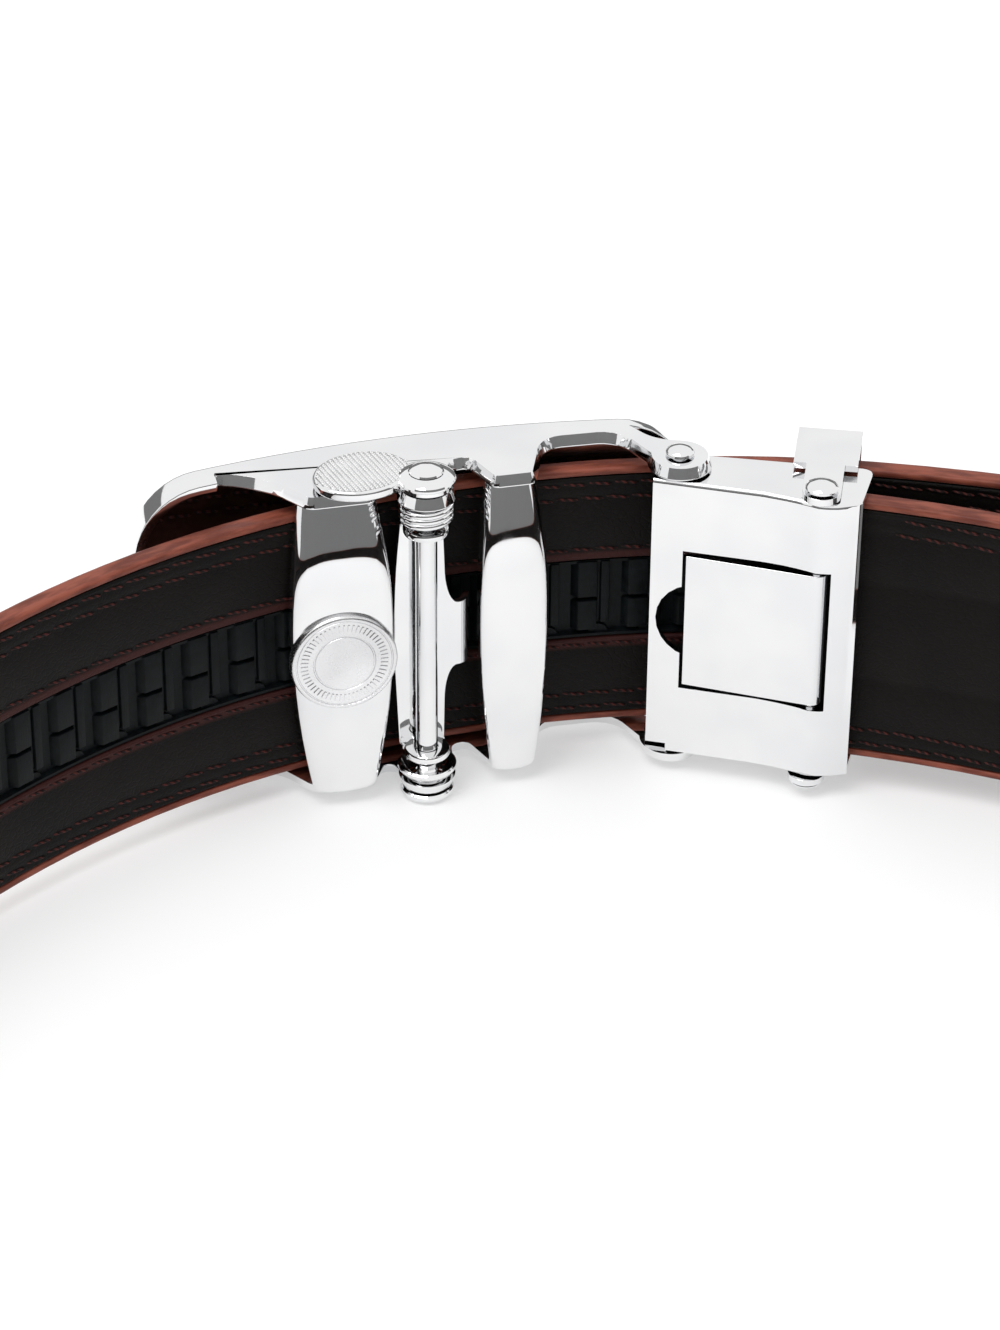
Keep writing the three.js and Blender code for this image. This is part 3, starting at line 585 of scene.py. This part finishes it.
def buildTrack():
    pitch, root, crest = toothCell["pitch"], toothCell["root"], toothCell["crest"]
    half = trackSpan["width"] / 2
    cell = bmesh.new()
    blocks = [  # run, depth and height of each raised block
        ((1.0, 4.15), (0.25, half - 0.1), 0.9),
        ((1.0, 4.15), (-half + 0.9, -0.3), 0.9),
        ((4.35, 5.75), (-half + 1.9, half - 0.1), 0.25),
    ]
    for (left, right), (bottom, top), ramp in blocks:
        for vert in addBlock(cell, (left, crest, bottom), (right, root + 0.1, top)):
            if vert.co.y < root and vert.co.x < (left + right) / 2:
                vert.co.x += ramp
            if vert.co.y < root and vert.co.x > (left + right) / 2 and ramp < 0.5:
                vert.co.x -= 0.15
    addBlock(cell, (4.2, crest + 0.3, -half + 2.2), (4.5, root + 0.1, half - 0.3))
    roundEdges(cell, 0.1, 2)
    footPlace = Matrix.Translation((4.4, root - 0.15, -half + 0.25)) @ Matrix.Rotation(math.pi / 2, 4, "X")
    foot = bmesh.ops.create_cone(cell, cap_ends=True, segments=20, radius1=1.25, radius2=1.15, depth=0.45,
                                 matrix=footPlace)
    bmesh.ops.bisect_plane(cell, geom=foot["verts"] + list({e for v in foot["verts"] for e in v.link_edges})
                           + list({f for v in foot["verts"] for f in v.link_faces}),
                           plane_co=(0, 0, -half + 0.25), plane_no=(0, 0, -1), clear_outer=True)
    bmesh.ops.holes_fill(cell, edges=[e for e in cell.edges if e.is_boundary], sides=0)
    bmesh.ops.recalc_face_normals(cell, faces=cell.faces)
    cellMesh = bpy.data.meshes.new("toothCell")
    cell.to_mesh(cellMesh)
    cell.free()

    middle = strapSize["width"] / 2 - trackSpan["drop"]
    strip = [(root, middle - half), (toothCell["back"], middle - half), (toothCell["back"], middle + half),
             (crest + 0.25, middle + half), (crest + 0.25, middle + half - 0.35), (root, middle + half - 0.5),
             (root, middle - half + 0.5), (crest + 0.1, middle - half + 0.35), (crest + 0.1, middle - half)]
    bm = sweepStrap(strip, trackStart, trackEnd)
    layer = bm.verts.layers.float_vector["strapPlace"]
    first = math.ceil((trackStart - apexRun) / pitch)
    last = math.floor((trackEnd - apexRun) / pitch) - 1
    for tooth in range(first, last):
        run = apexRun + tooth * pitch + toothCell["phase"]
        count = len(bm.verts)
        bm.from_mesh(cellMesh)
        bm.verts.ensure_lookup_table()
        for vert in bm.verts[count:]:
            vert[layer] = (run + vert.co.x, middle + vert.co.z, vert.co.y)
            vert.co = strapFrame(run + vert.co.x) @ Vector((0, vert.co.y, middle + vert.co.z))
    bpy.data.meshes.remove(cellMesh)
    finishPiece("ratchetTrack", bm, beltPlace, nylon, ["ratchet_track"])


stitch = {"pitch": 3.0, "length": 2.75, "thick": 0.4, "tilt": 7.0, "sink": 0.07, "blunt": 0.55, "shift": 0.17,
          "start": 1.5, "trackGap": 2, "edgeBand": 8}


def stitchMesh():
    shape = bmesh.new()
    bmesh.ops.create_uvsphere(shape, u_segments=6, v_segments=5, radius=1, matrix=Matrix.Rotation(math.pi / 2, 4, "Y"))
    for vert in shape.verts:
        blunt = math.copysign(abs(vert.co.x) ** stitch["blunt"], vert.co.x)
        vert.co = (blunt * stitch["length"] / 2, vert.co.y * stitch["thick"] / 2, vert.co.z * stitch["thick"] / 2)
    mesh = bpy.data.meshes.new("stitchShape")
    shape.to_mesh(mesh)
    shape.free()
    return mesh


def buildStitches():
    width, pitch, band = strapSize["width"], stitch["pitch"], stitch["edgeBand"]
    faceDepth = strapSize["thick"] - strapShell["groove"] + stitch["sink"]
    rows = {
        "liningStitches": ("strap_lining", liningPanel["lines"], liningPanel["groove"] - stitch["sink"]),
        "faceStitches": ("strap_leather", strapShell["outerLines"], faceDepth),
    }
    shape = stitchMesh()
    tilt = Matrix.Rotation(math.radians(stitch["tilt"]), 4, "Y")
    for name, (node, lines, depth) in rows.items():
        bm = bmesh.new()
        layer = bm.verts.layers.float_vector.new("strapPlace")
        for height in [line for low in lines for line in (low, width - low)]:
            fromRun, toRun = stitch["start"], strapEnd - tip["radius"]
            if band < height < width - band:  # beside the track
                fromRun, toRun = trackStart + stitch["trackGap"], trackEnd - stitch["trackGap"]
            for i in range(int((toRun - fromRun) / pitch)):
                run = fromRun + pitch * (i + 0.5 + stitch["shift"] * height)
                if run > toRun:
                    break
                count = len(bm.verts)
                bm.from_mesh(shape)
                bm.verts.ensure_lookup_table()
                place = strapFrame(run) @ Matrix.Translation((0, depth, height)) @ tilt
                for vert in bm.verts[count:]:
                    vert[layer] = (run + vert.co.x, height + vert.co.z, depth + vert.co.y)
                    vert.co = place @ vert.co
        finishPiece(name, bm, beltPlace, thread, [node])
    bpy.data.meshes.remove(shape)


buildStrapShell()
buildLining()
buildTrack()
buildStitches()
print("strap built")


# Buckle frame

plateShape = {"half": 33.0, "radius": 145.0, "apex": 4.0, "thick": 2.0, "out": 12.6, "corner": 8.0,
              "rimDepth": 2.2, "rimWidth": 1.2, "low": 1.5, "top": 41.7, "wall": 1.3, "step": 0.05,
              "rimEnd": 22.8, "rimHigh": 12.5, "draft": 0.45, "sheet": 0.15, "strip": 3.1}


def plateFront(x):
    radius = plateShape["radius"]
    return plateShape["out"] - radius + math.sqrt(radius ** 2 - (x - plateShape["apex"]) ** 2)


def uprightSheet(half, low, top, corner, front, thick):
    bm = bmesh.new()
    verts = [bm.verts.new((x, front, z)) for x, z in ((-half, low), (half, low), (half, top), (-half, top))]
    bm.faces.new(verts)
    bmesh.ops.bevel(bm, geom=verts, offset=corner, offset_type="OFFSET", affect="VERTICES",
                    segments=10, profile=0.5, clamp_overlap=True)
    made = bmesh.ops.extrude_face_region(bm, geom=bm.faces[:])
    bmesh.ops.translate(bm, vec=(0, -thick, 0), verts=newVerts(made["geom"]))
    return bm


def bendToFront(bm, strip):
    sliceAcross(bm, [i * strip for i in range(-10, 11)])
    for vert in bm.verts:
        vert.co.y += plateFront(vert.co.x)


def buildPlate():
    half, low, top, rimEnd, thick = (plateShape[k] for k in ("half", "low", "top", "rimEnd", "thick"))
    bm = uprightSheet(half, low, top, plateShape["corner"], 0, thick)

    def onBack(face):
        return all(v.co.y < -0.95 * thick for v in face.verts)

    bmesh.ops.inset_region(bm, faces=[f for f in bm.faces if onBack(f)], thickness=plateShape["rimWidth"], depth=0,
                           use_even_offset=True)
    sliceAcross(bm, (-rimEnd, rimEnd))
    middle = (low + top) / 2
    rim = []
    for face in bm.faces:
        spot = face.calc_center_median()
        outside = spot.x < 1 - half or abs(spot.z - middle) > plateShape["rimHigh"]
        if onBack(face) and spot.x < -rimEnd and outside:
            rim.append(face)
    made = bmesh.ops.extrude_face_region(bm, geom=rim)
    bmesh.ops.translate(bm, vec=(0, -plateShape["rimDepth"], 0), verts=newVerts(made["geom"]))
    bmesh.ops.delete(bm, geom=rim, context="FACES_ONLY")
    bmesh.ops.remove_doubles(bm, verts=bm.verts, dist=1e-4)
    bmesh.ops.recalc_face_normals(bm, faces=bm.faces)
    roundEdges(bm, 0.7, 4, 60, lambda e: all(v.co.y > -0.01 for v in e.verts))
    roundEdges(bm, 0.22, 2, 60, lambda e: all(v.co.y < -0.9 for v in e.verts))
    bendToFront(bm, plateShape["strip"])
    finishPiece("frontPlate", bm, beltPlace, chrome, ["buckle_frame"])


plateFace = {"border": 2.6, "corner": 5.6, "proud": 0.06, "sunk": 0.3, "strip": 3.0}


def buildPlateFace():  # brushed panel inside the polished border
    border, proud = plateFace["border"], plateFace["proud"]
    bm = uprightSheet(plateShape["half"] - border, plateShape["low"] + border, plateShape["top"] - border,
                      plateFace["corner"], proud, proud + plateFace["sunk"])
    bmesh.ops.recalc_face_normals(bm, faces=bm.faces)
    roundEdges(bm, 0.05, 2, 60, lambda e: all(v.co.y > 0 for v in e.verts))
    bendToFront(bm, plateFace["strip"])
    finishPiece("plateFace", bm, beltPlace, brushedSteel, ["buckle_frame"])


wideBar = {"x": -9.9, "top": 8.6, "mid": 11.8, "bottom": 7.1, "rear": -0.7, "depth": 3.1}
plainBar = {"x": 10.35, "top": 5.7, "mid": 8.0, "bottom": 5.1, "rear": -0.4, "depth": 2.9}
barForm = {"foot": 1.7, "head": 40.8, "bend": 30.2, "soft": 6.0, "slope": 0.36, "shoulder": 2.0, "crown": 0.45,
           "footRound": 1.1}


def barWidth(bar, z):
    t = (z - barForm["foot"]) / (barForm["head"] - barForm["foot"])
    swell = bar["mid"] * 4 - bar["top"] - bar["bottom"]
    return bar["bottom"] * (1 - t) ** 2 + swell * t * (1 - t) + bar["top"] * t ** 2


def roundOff(distance, radius):  # how far an edge draws in, this near to a corner of that radius
    if distance >= radius:
        return 0.0
    return radius - math.sqrt(radius ** 2 - (radius - distance) ** 2)


def buildBar(name, bar):
    foot, head, soft = barForm["foot"], barForm["head"], barForm["soft"]
    levels = [foot, foot + 0.06, foot + 0.2, foot + 0.42, foot + 0.75, foot + 1.1, 4.5, 7, 10, 13, 16, 19, 22, 25, 27.5]
    levels += [28.5 + 0.6 * i for i in range(16)] + [38.6, 39.7, head]
    bm = bmesh.new()
    section = [bm.verts.new((x, y, levels[0])) for x, y in ((-0.5, 0), (0.5, 0), (0.5, 1), (-0.5, 1))]
    bm.faces.new(section)
    bmesh.ops.bevel(bm, geom=section[:2], offset=0.13, offset_type="OFFSET", affect="VERTICES", segments=6, profile=0.5)
    bmesh.ops.subdivide_edges(bm, edges=[e for e in bm.edges if all(abs(v.co.y) < 1e-5 for v in e.verts)], cuts=12)
    bmesh.ops.bevel(bm, geom=[v for v in bm.verts if v.co.y > 0.99], offset=0.1, offset_type="OFFSET",
                    affect="VERTICES", segments=3, profile=0.5)
    face = bm.faces[:]
    for low, high in zip(levels, levels[1:]):
        made = bmesh.ops.extrude_face_region(bm, geom=face)
        news = newVerts(made["geom"])
        if low != levels[0]:
            bmesh.ops.delete(bm, geom=face, context="FACES_ONLY")
        bmesh.ops.translate(bm, vec=(0, 0, high - low), verts=news)
        face = [f for f in made["geom"] if isinstance(f, bmesh.types.BMFace)]
    for vert in bm.verts:
        z = vert.co.z
        side = abs(2 * vert.co.x)
        cornerCut = roundOff(z - foot, barForm["footRound"])
        width = barWidth(bar, z) - 2 * cornerCut
        above = max(z - barForm["bend"] + barForm["shoulder"] * side ** 4, 0)
        lean = barForm["slope"] * (above * above / (2 * soft) if above < soft else above - soft / 2)
        depth = bar["depth"] - lean * 0.85 - cornerCut * 0.8
        crown = barForm["crown"] * (1 - side ** 2) * (1 - vert.co.y)
        vert.co.x = bar["x"] + vert.co.x * width
        vert.co.y = bar["rear"] + lean + cornerCut * 0.8 + vert.co.y * depth - crown
    finishPiece(name, bm, beltPlace, chrome, ["buckle_frame"], smooth=50)


def wallCorners():
    wideLeft = wideBar["x"] - wideBar["top"] / 2
    wideRight = wideBar["x"] + wideBar["top"] / 2
    plainLeft = plainBar["x"] - plainBar["top"] / 2
    plainRight = plainBar["x"] + plainBar["top"] / 2
    corners = [(-23.2, 7.7, 0.2), (-19.9, 6.5, 2.0), (wideLeft - 2.2, 3.9, 0.8),
               (wideLeft + 0.6, wideBar["rear"] + 0.6, 0.9), (wideRight - 0.4, wideBar["rear"] + 0.6, 0.7),
               (-4.6, 2.6, 0.6), (-3.5, 2.2, 0.3)]
    corners += arcCorners(0, 0, 3.35, 160, 370, 20)
    corners += [(4.0, 4.9, 0.7), (6.0, 5.3, 0.9), (plainLeft + 0.4, plainBar["rear"] + 0.6, 0.8),
                (plainRight - 0.4, plainBar["rear"] + 0.6, 0.7), (plainRight + 1.2, 4.6, 0.8),
                (plainRight + 2.2, 7.7, 2.2), (24.2, 7.4, 2.4)]
    corners += arcCorners(clampHinge["x"], clampHinge["y"], 3.7, 164, 432, 26)
    corners += [(28.2, 5.4, 1.6), (26.0, 9.4, 0.5)]
    corners += [(x, plateFront(x) - 1.3) for x in range(24, -24, -2)]
    return corners


def buildWalls():
    step, sheet = plateShape["step"], plateShape["sheet"]
    for name, low in (("lowerWall", plateShape["low"] - step), ("upperWall", plateShape["top"] - plateShape["wall"])):
        bm = plateFromPlan(wallCorners(), low, low + sheet)
        bmesh.ops.recalc_face_normals(bm, faces=bm.faces)
        outer = max(bm.faces, key=lambda f: f.calc_area() * (1 if f.normal.z > 0 else 0.9))
        bmesh.ops.inset_region(bm, faces=[outer], thickness=plateShape["draft"],
                               depth=plateShape["wall"] + step - sheet, use_even_offset=True)
        if name == "lowerWall":
            bmesh.ops.scale(bm, vec=(1, 1, -1), verts=bm.verts)
            bmesh.ops.translate(bm, vec=(0, 0, 2 * low + plateShape["wall"] + step), verts=bm.verts)
            bmesh.ops.reverse_faces(bm, faces=bm.faces)
        roundEdges(bm, 0.12, 2, 40)
        finishPiece(name, bm, beltPlace, chrome, ["buckle_frame"])


medal = {"x": -10.0, "z": 20.5, "radius": 6.25, "rear": -1.85, "thick": 1.5, "ticks": 56, "tickRing": 4.7,
         "tick": (0.85, 0.16, 0.2)}


def buildMedallion():
    radius, thick = medal["radius"], medal["thick"]
    bm = bmesh.new()
    profile = [(0, 0.07), (3.42, 0.07), (3.5, 0.2), (3.62, 0.2), (3.7, 0.07), (5.5, 0.07), (5.58, 0.16), (5.68, 0.16),
               (5.75, 0.02), (5.85, 0), (6.02, 0.05), (6.15, 0.14), (radius - 0.02, 0.28), (radius, 0.45),
               (radius, thick), (0, thick)]
    turn = Matrix.Rotation(math.radians(-90), 4, "X")
    place = (medal["x"], medal["rear"], medal["z"])
    turnedPiece(bm, profile, place, 72, turn)
    for i in range(medal["ticks"]):
        angle = math.tau * i / medal["ticks"]
        matrix = (Matrix.Translation(place) @ Matrix.Rotation(angle, 4, "Y")
                  @ Matrix.Translation((medal["tickRing"], 0.03, 0)) @ Matrix.Diagonal((*medal["tick"], 1)))
        bmesh.ops.create_cube(bm, size=1, matrix=matrix)
    finishPiece("medallionDisc", bm, beltPlace, satinChrome, ["medallion"], smooth=28)


buildPlate()
buildPlateFace()
buildBar("wideLoopBar", wideBar)
buildBar("plainLoopBar", plainBar)
buildWalls()
buildMedallion()
print("buckle frame built")


# Pivot pin, pawl, spring and lever

def buildPivotPin():
    bm = bmesh.new()
    turnedPiece(bm, [(1.3, 3.47), (2.06, 3.47), (2.7, 3.8), (3.1, 4.35), (3.25, 4.4), (3.45, 4.25), (3.5, 3.95),
                     (3.35, 3.6), (2.8, 3.2), (2.1, 3.02), (1.3, 2.95), (1.3, 3.47)])
    turnedPiece(bm, [(0, 0), (2.2, 0), (2.75, 0.12), (3.05, 0.38), (3.2, 0.75), (3.12, 1.02), (2.9, 1.18), (1.27, 1.2),
                     (1.27, 2.85), (2.15, 2.85), (2.3, 3.0), (2.3, 3.35), (2.1, 3.5), (1.45, 3.55), (1.27, 3.75),
                     (1.27, 36.9), (1.27, 43.6), (1.8, 43.66), (1.95, 43.8), (1.85, 44.02), (1.5, 44.2), (0.9, 44.32),
                     (0, 44.36)])
    finishPiece("pivotPin", bm, beltPlace, chrome, ["pivot_pin"])


pawlForm = {"rear": 1.9, "plate": 1.0, "bottom": 5.4, "top": 36.8, "middle": 20.4, "neck": 2.6, "flat": 4.1,
            "tongue": 7.38, "tongueHalf": 4.35, "bend": 1.5, "turn": 68, "ear": 2.7, "bore": 1.37,
            "strip": 0.15}


def buildPawl():
    rear, plate = pawlForm["rear"], pawlForm["plate"]
    bottom, top, middle = pawlForm["bottom"], pawlForm["top"], pawlForm["middle"]
    neck, tongue, half = pawlForm["neck"], pawlForm["tongue"], pawlForm["tongueHalf"]
    flat = pawlForm["flat"]
    fillets = [math.radians(10 * i) for i in range(10)]
    corners = [(-2.6, top, 0.8), (-3.75, middle + 4, 8), (-2.9, bottom, 0.8), (2.5, bottom, 0.8)]
    corners += [(flat - (flat - neck) * math.cos(t), middle - half - 4.6 * (1 - math.sin(t))) for t in fillets]
    corners += [(tongue, middle - half, 0.4), (tongue, middle + half, 0.4)]
    corners += [(flat - (flat - neck) * math.cos(t), middle + half + 5.0 * (1 - math.sin(t)))
                for t in reversed(fillets)]
    corners += [(2.35, top, 0.8)]
    bm = plateFromPlan(corners, 0, plate, 6)
    bmesh.ops.recalc_face_normals(bm, faces=bm.faces)
    roundEdges(bm, 0.2, 2, 60)
    sliceAcross(bm, [flat + step * pawlForm["strip"] for step in range(14)])
    bmesh.ops.transform(bm, matrix=Matrix(((1, 0, 0, 0), (0, 0, 1, rear), (0, 1, 0, 0), (0, 0, 0, 1))), verts=bm.verts)
    bend = pawlForm["bend"]
    for vert in bm.verts:
        reach = vert.co.x - flat
        if reach > 0:  # the tongue turns forward to the strap's teeth
            turn = min(reach / bend, math.radians(pawlForm["turn"]))
            rest = reach - turn * bend
            depth = bend - (vert.co.y - rear)
            vert.co.x = flat + depth * math.sin(turn) + rest * math.cos(turn)
            vert.co.y = rear + bend - depth * math.cos(turn) + rest * math.sin(turn)
    for low in (bottom, top - plate):
        radius, bore, high = pawlForm["ear"], pawlForm["bore"], low + plate
        ear = plateFromPlan([(2.4, 2.4), (2.4, 1.45), (-2.6, 1.45), (-2.6, 2.4)], low + 0.02, high - 0.02)
        turnedPiece(ear, [(bore, low), (radius - 0.3, low), (radius - 0.08, low + 0.1), (radius, low + 0.3),
                          (radius, high - 0.3), (radius - 0.08, high - 0.1), (radius - 0.3, high), (bore, high),
                          (bore, low)])
        bmesh.ops.recalc_face_normals(ear, faces=ear.faces)
        joinPart(bm, ear)
    finishPiece("pawlPlate", bm, beltPlace, chrome, ["pawl"], "pawl_and_lever")


springCoil = {"radius": 2.72, "wire": 0.46, "turns": 3, "low": 37.55, "high": 39.65}


def buildSpring():
    bm = bmesh.new()
    start = Matrix.Translation((springCoil["radius"], 0, springCoil["low"])) @ Matrix.Rotation(math.pi / 2, 4, "X")
    made = bmesh.ops.create_circle(bm, segments=12, radius=springCoil["wire"], cap_ends=False, matrix=start)
    edges = list({edge for vert in made["verts"] for edge in vert.link_edges})
    steps = 40 * springCoil["turns"]
    rise = (springCoil["high"] - springCoil["low"]) / steps
    bmesh.ops.spin(bm, geom=made["verts"] + edges, cent=(0, 0, 0), axis=(0, 0, 1), dvec=(0, 0, rise),
                   angle=math.tau * springCoil["turns"], steps=steps, use_duplicate=False)
    bmesh.ops.holes_fill(bm, edges=[edge for edge in bm.edges if edge.is_boundary], sides=0)
    finishPiece("pawlSpring", bm, beltPlace, chrome, ["pawl_spring"])


padForm = {"x": -7.0, "y": 2.3, "long": 5.7, "wide": 4.6, "low": 42.0, "thick": 1.3,
           "tilt": knurl["tilt"], "rim": 0.42, "knurlRim": 0.5}
bossForm = {"radius": 3.4, "bore": 1.37, "top": 43.75}


def buildPad():
    low, thick = padForm["low"], padForm["thick"]
    turn = (Matrix.Translation((padForm["x"], padForm["y"], low))
            @ Matrix.Rotation(math.radians(padForm["tilt"]), 4, "Z"))
    bm = bmesh.new()
    bmesh.ops.create_cone(bm, cap_ends=True, segments=72, radius1=1, radius2=1, depth=thick,
                          matrix=turn @ Matrix.Translation((0, 0, thick / 2))
                          @ Matrix.Diagonal((padForm["long"], padForm["wide"], 1, 1)))
    roundEdges(bm, 0.4, 4, 60)
    finishPiece("leverPadRim", bm, beltPlace, chrome, ["release_lever"], "pawl_and_lever")

    bm = bmesh.new()
    bmesh.ops.create_cone(bm, cap_ends=True, segments=48, radius1=1, radius2=1, depth=0.1,
                          matrix=turn @ Matrix.Translation((0, 0, thick)) @ Matrix.Diagonal(
                              (padForm["long"] - padForm["rim"], padForm["wide"] - padForm["rim"], 1, 1)))
    ridge, cross = knurl["ridge"], knurl["cross"]
    long, wide = padForm["long"] - padForm["knurlRim"], padForm["wide"] - padForm["knurlRim"]
    rows = int(padForm["long"] / ridge)
    for i in range(-rows, rows + 1):
        across = i * ridge
        reach = wide * math.sqrt(max(1 - (across / long) ** 2, 0))
        count = int(reach / cross)
        for j in range(-count, count + 1):
            spot = turn @ Matrix.Translation((across, j * cross, thick + 0.1)) @ Matrix.Rotation(math.pi / 4, 4, "Z")
            bmesh.ops.create_cone(bm, cap_ends=True, segments=4, radius1=0.3, radius2=0.1, depth=0.18, matrix=spot)
    finishPiece("leverPadKnurl", bm, beltPlace, knurledChrome, ["release_lever"], "pawl_and_lever",
                smooth=20)


def buildLeverBoss():
    low, bore, radius, top = padForm["low"], bossForm["bore"], bossForm["radius"], bossForm["top"]
    bm = bmesh.new()
    turnedPiece(bm, [(bore, low), (radius - 0.5, low), (radius - 0.25, low + 0.12), (radius - 0.3, low + 0.5),
                     (radius - 0.05, low + 0.75), (radius, low + 1.0), (radius - 0.1, low + 1.22),
                     (radius - 0.45, low + 1.45), (2.4, top - 0.08), (2.05, top), (2.0, top - 0.2), (bore, top - 0.2),
                     (bore, low)], steps=56)
    corners = [(-6.6, 0.6, 0.6), (-4.2, 0.4, 0.6), (-2.1, 0.3), (-1.9, 3.2), (-3.4, 5.8, 0.6), (-6.6, 5.8, 0.6)]
    neck = plateFromPlan(corners, low + 0.02, low + 1.12)
    bmesh.ops.recalc_face_normals(neck, faces=neck.faces)
    roundEdges(neck, 0.42, 4, 60)
    joinPart(bm, neck)
    finishPiece("leverBoss", bm, beltPlace, chrome, ["release_lever"], "pawl_and_lever")


buildPivotPin()
buildPawl()
buildSpring()
buildPad()
buildLeverBoss()
print("pawl and lever built")


# Clamp: rounded copies of the sheet-metal solids, and turned rivets

clampFold = {"width": 0.65, "least": 1.2, "rear": -3.2}  # mm, radians, mm


def roundedCopy(name, node, width, body="belt", fold=None):
    bm = bmesh.new()
    bm.from_mesh(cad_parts[node].data)
    bmesh.ops.transform(bm, matrix=clampPlace.inverted(), verts=bm.verts)
    bmesh.ops.remove_doubles(bm, verts=bm.verts, dist=2e-3)
    bmesh.ops.dissolve_limit(bm, angle_limit=math.radians(2), verts=bm.verts, edges=bm.edges)
    if fold:  # the sheet's outer fold along the top of the back
        top = max(vert.co.z for vert in bm.verts)
        edges = [edge for edge in bm.edges if edge.is_manifold and edge.calc_face_angle(0) > fold["least"]
                 and all(abs(v.co.z - top) < 0.05 and v.co.y < fold["rear"] for v in edge.verts)]
        print("fold edges", len(edges))
        bmesh.ops.bevel(bm, geom=edges, offset=fold["width"], offset_type="OFFSET", affect="EDGES",
                        segments=5, profile=0.5, clamp_overlap=False, material=-1)
    roundEdges(bm, width, 3, 50)
    bmesh.ops.remove_doubles(bm, verts=bm.verts, dist=0.02)
    finishPiece(name, bm, clampPlace, chrome, [node], body)


def buildRivets():
    profile = [(0, 37.8), (1.2, 37.8), (1.4, 38.0), (1.4, 38.38), (1.0, 38.4), (1.0, 42.0), (1.65, 42.0), (1.65, 42.18),
               (1.5, 42.42), (1.2, 42.6), (0.8, 42.73), (0.4, 42.79), (0, 42.8)]
    flipped = [(r, 43.2 - z) for r, z in reversed(profile)]
    for name, node, outline in (("hingeRivetTop", "hinge_rivet_top", profile),
                                ("hingeRivetBottom", "hinge_rivet_bottom", flipped)):
        bm = bmesh.new()
        turnedPiece(bm, outline, steps=40)
        finishPiece(name, bm, clampPlace, chrome, [node])


clampPin = {"x": 17, "y": -3.05, "radius": 0.6, "low": 1.7, "high": 41.5}


def buildClampPin():
    low, high, radius = clampPin["low"], clampPin["high"], clampPin["radius"]
    head = [(0, 0.7), (0.8, 0.68), (1.35, 0.58), (1.75, 0.38), (1.9, 0.15), (1.9, 0)]
    profile = [(r, low - rise) for r, rise in head] + [(radius, low), (radius, high)]
    profile += [(r, high + rise) for r, rise in reversed(head)]
    bm = bmesh.new()
    turnedPiece(bm, profile, (clampPin["x"], clampPin["y"], 0), 40)
    finishPiece("clampPin", bm, clampPlace, chrome, ["clamp_pin"])


roundedCopy("clampHousing", "clamp_housing", 0.12, fold=clampFold)
roundedCopy("clampFlap", "clamp_flap", 0.22, "flap")
roundedCopy("tailKeeper", "tail_keeper", 0.15)
buildRivets()
buildClampPin()
print("clamp built")


# Stage

# glow: painted light, an emission on the floor that brightens its shade
stageSet = {"floor": 6.0, "drop": 0.00005, "tone": 0.63, "toneLight": 0.64, "floorPaintedGlow": 0.33}  # floor, drop in metres
lampSet = {"size": (1.0, 0.8), "energy": 10, "place": (-0.55, -0.2, 1.35), "lean": -20}
cardSet = {"radius": 1.3, "low": 0.0, "tone": 0.17,  # metres
           "cards": [("greyCardBehind", -150, -25, 0.85), ("greyCardInFront", 40, 140, 0.45)]}  # degrees, height


def makeStage():
    bm = bmesh.new()
    bmesh.ops.create_grid(bm, x_segments=2, y_segments=2, size=stageSet["floor"])
    mesh = bpy.data.meshes.new("floor")
    bm.to_mesh(mesh)
    bm.free()
    floor = bpy.data.objects.new("floor", mesh)
    floor.location.z = -stageSet["drop"]
    scene.collection.objects.link(floor)

    def floorNodes(wire):
        dark, light = ((stageSet[k],) * 3 + (1,) for k in ("tone", "toneLight"))
        return {"Base Color": wire.noise(3, 2).band(0.3, 0.7).mix(dark, light)}

    floorPaintedGlow = stageSet["floorPaintedGlow"]  # painted light: the floor glows to lift its shade under and beside the belt
    mesh.materials.append(makeMaterial("paleFloor", {"Roughness": 0.9, "Specular IOR Level": 0.0,
                                                     "Emission Color": (floorPaintedGlow, floorPaintedGlow, floorPaintedGlow, 1),
                                                     "Emission Strength": 1.0}, floorNodes))


def makeCards():  # grey cards round the belt, for the dark lines in the chrome
    tone = cardSet["tone"]
    paper = makeMaterial("greyCard", {"Base Color": (tone, tone, tone, 1), "Roughness": 1.0,
                                      "Specular IOR Level": 0.0}, lambda wire: {})
    for name, start, end, high in cardSet["cards"]:
        bm = bmesh.new()
        turn = Matrix.Rotation(math.radians(start), 4, "Z")
        foot = bm.verts.new(turn @ Vector((cardSet["radius"], 0, cardSet["low"])))
        head = bm.verts.new(turn @ Vector((cardSet["radius"], 0, high)))
        edge = bm.edges.new((foot, head))
        bmesh.ops.spin(bm, geom=[foot, head, edge], cent=(0, 0, 0), axis=(0, 0, 1), dvec=(0, 0, 0),
                       angle=math.radians(end - start), steps=24, use_duplicate=False)
        mesh = bpy.data.meshes.new(name)
        bm.to_mesh(mesh)
        bm.free()
        mesh.materials.append(paper)
        card = bpy.data.objects.new(name, mesh)
        scene.collection.objects.link(card)
        card.visible_camera = False
        card.visible_diffuse = False
        card.visible_shadow = False


def makeLight():
    world = bpy.data.worlds.new("studio")
    scene.world = world
    world.use_nodes = True
    world.node_tree.nodes["Background"].inputs["Color"].default_value = (1, 1, 1, 1)
    world.node_tree.nodes["Background"].inputs["Strength"].default_value = 1.0
    lamp = bpy.data.lights.new("softTop", "AREA")
    lamp.shape = "RECTANGLE"
    lamp.size, lamp.size_y = lampSet["size"]
    lamp.energy = lampSet["energy"]
    top = bpy.data.objects.new("softTop", lamp)
    top.location = lampSet["place"]
    top.rotation_euler = (0, math.radians(lampSet["lean"]), 0)
    scene.collection.objects.link(top)


makeStage()
makeCards()
makeLight()
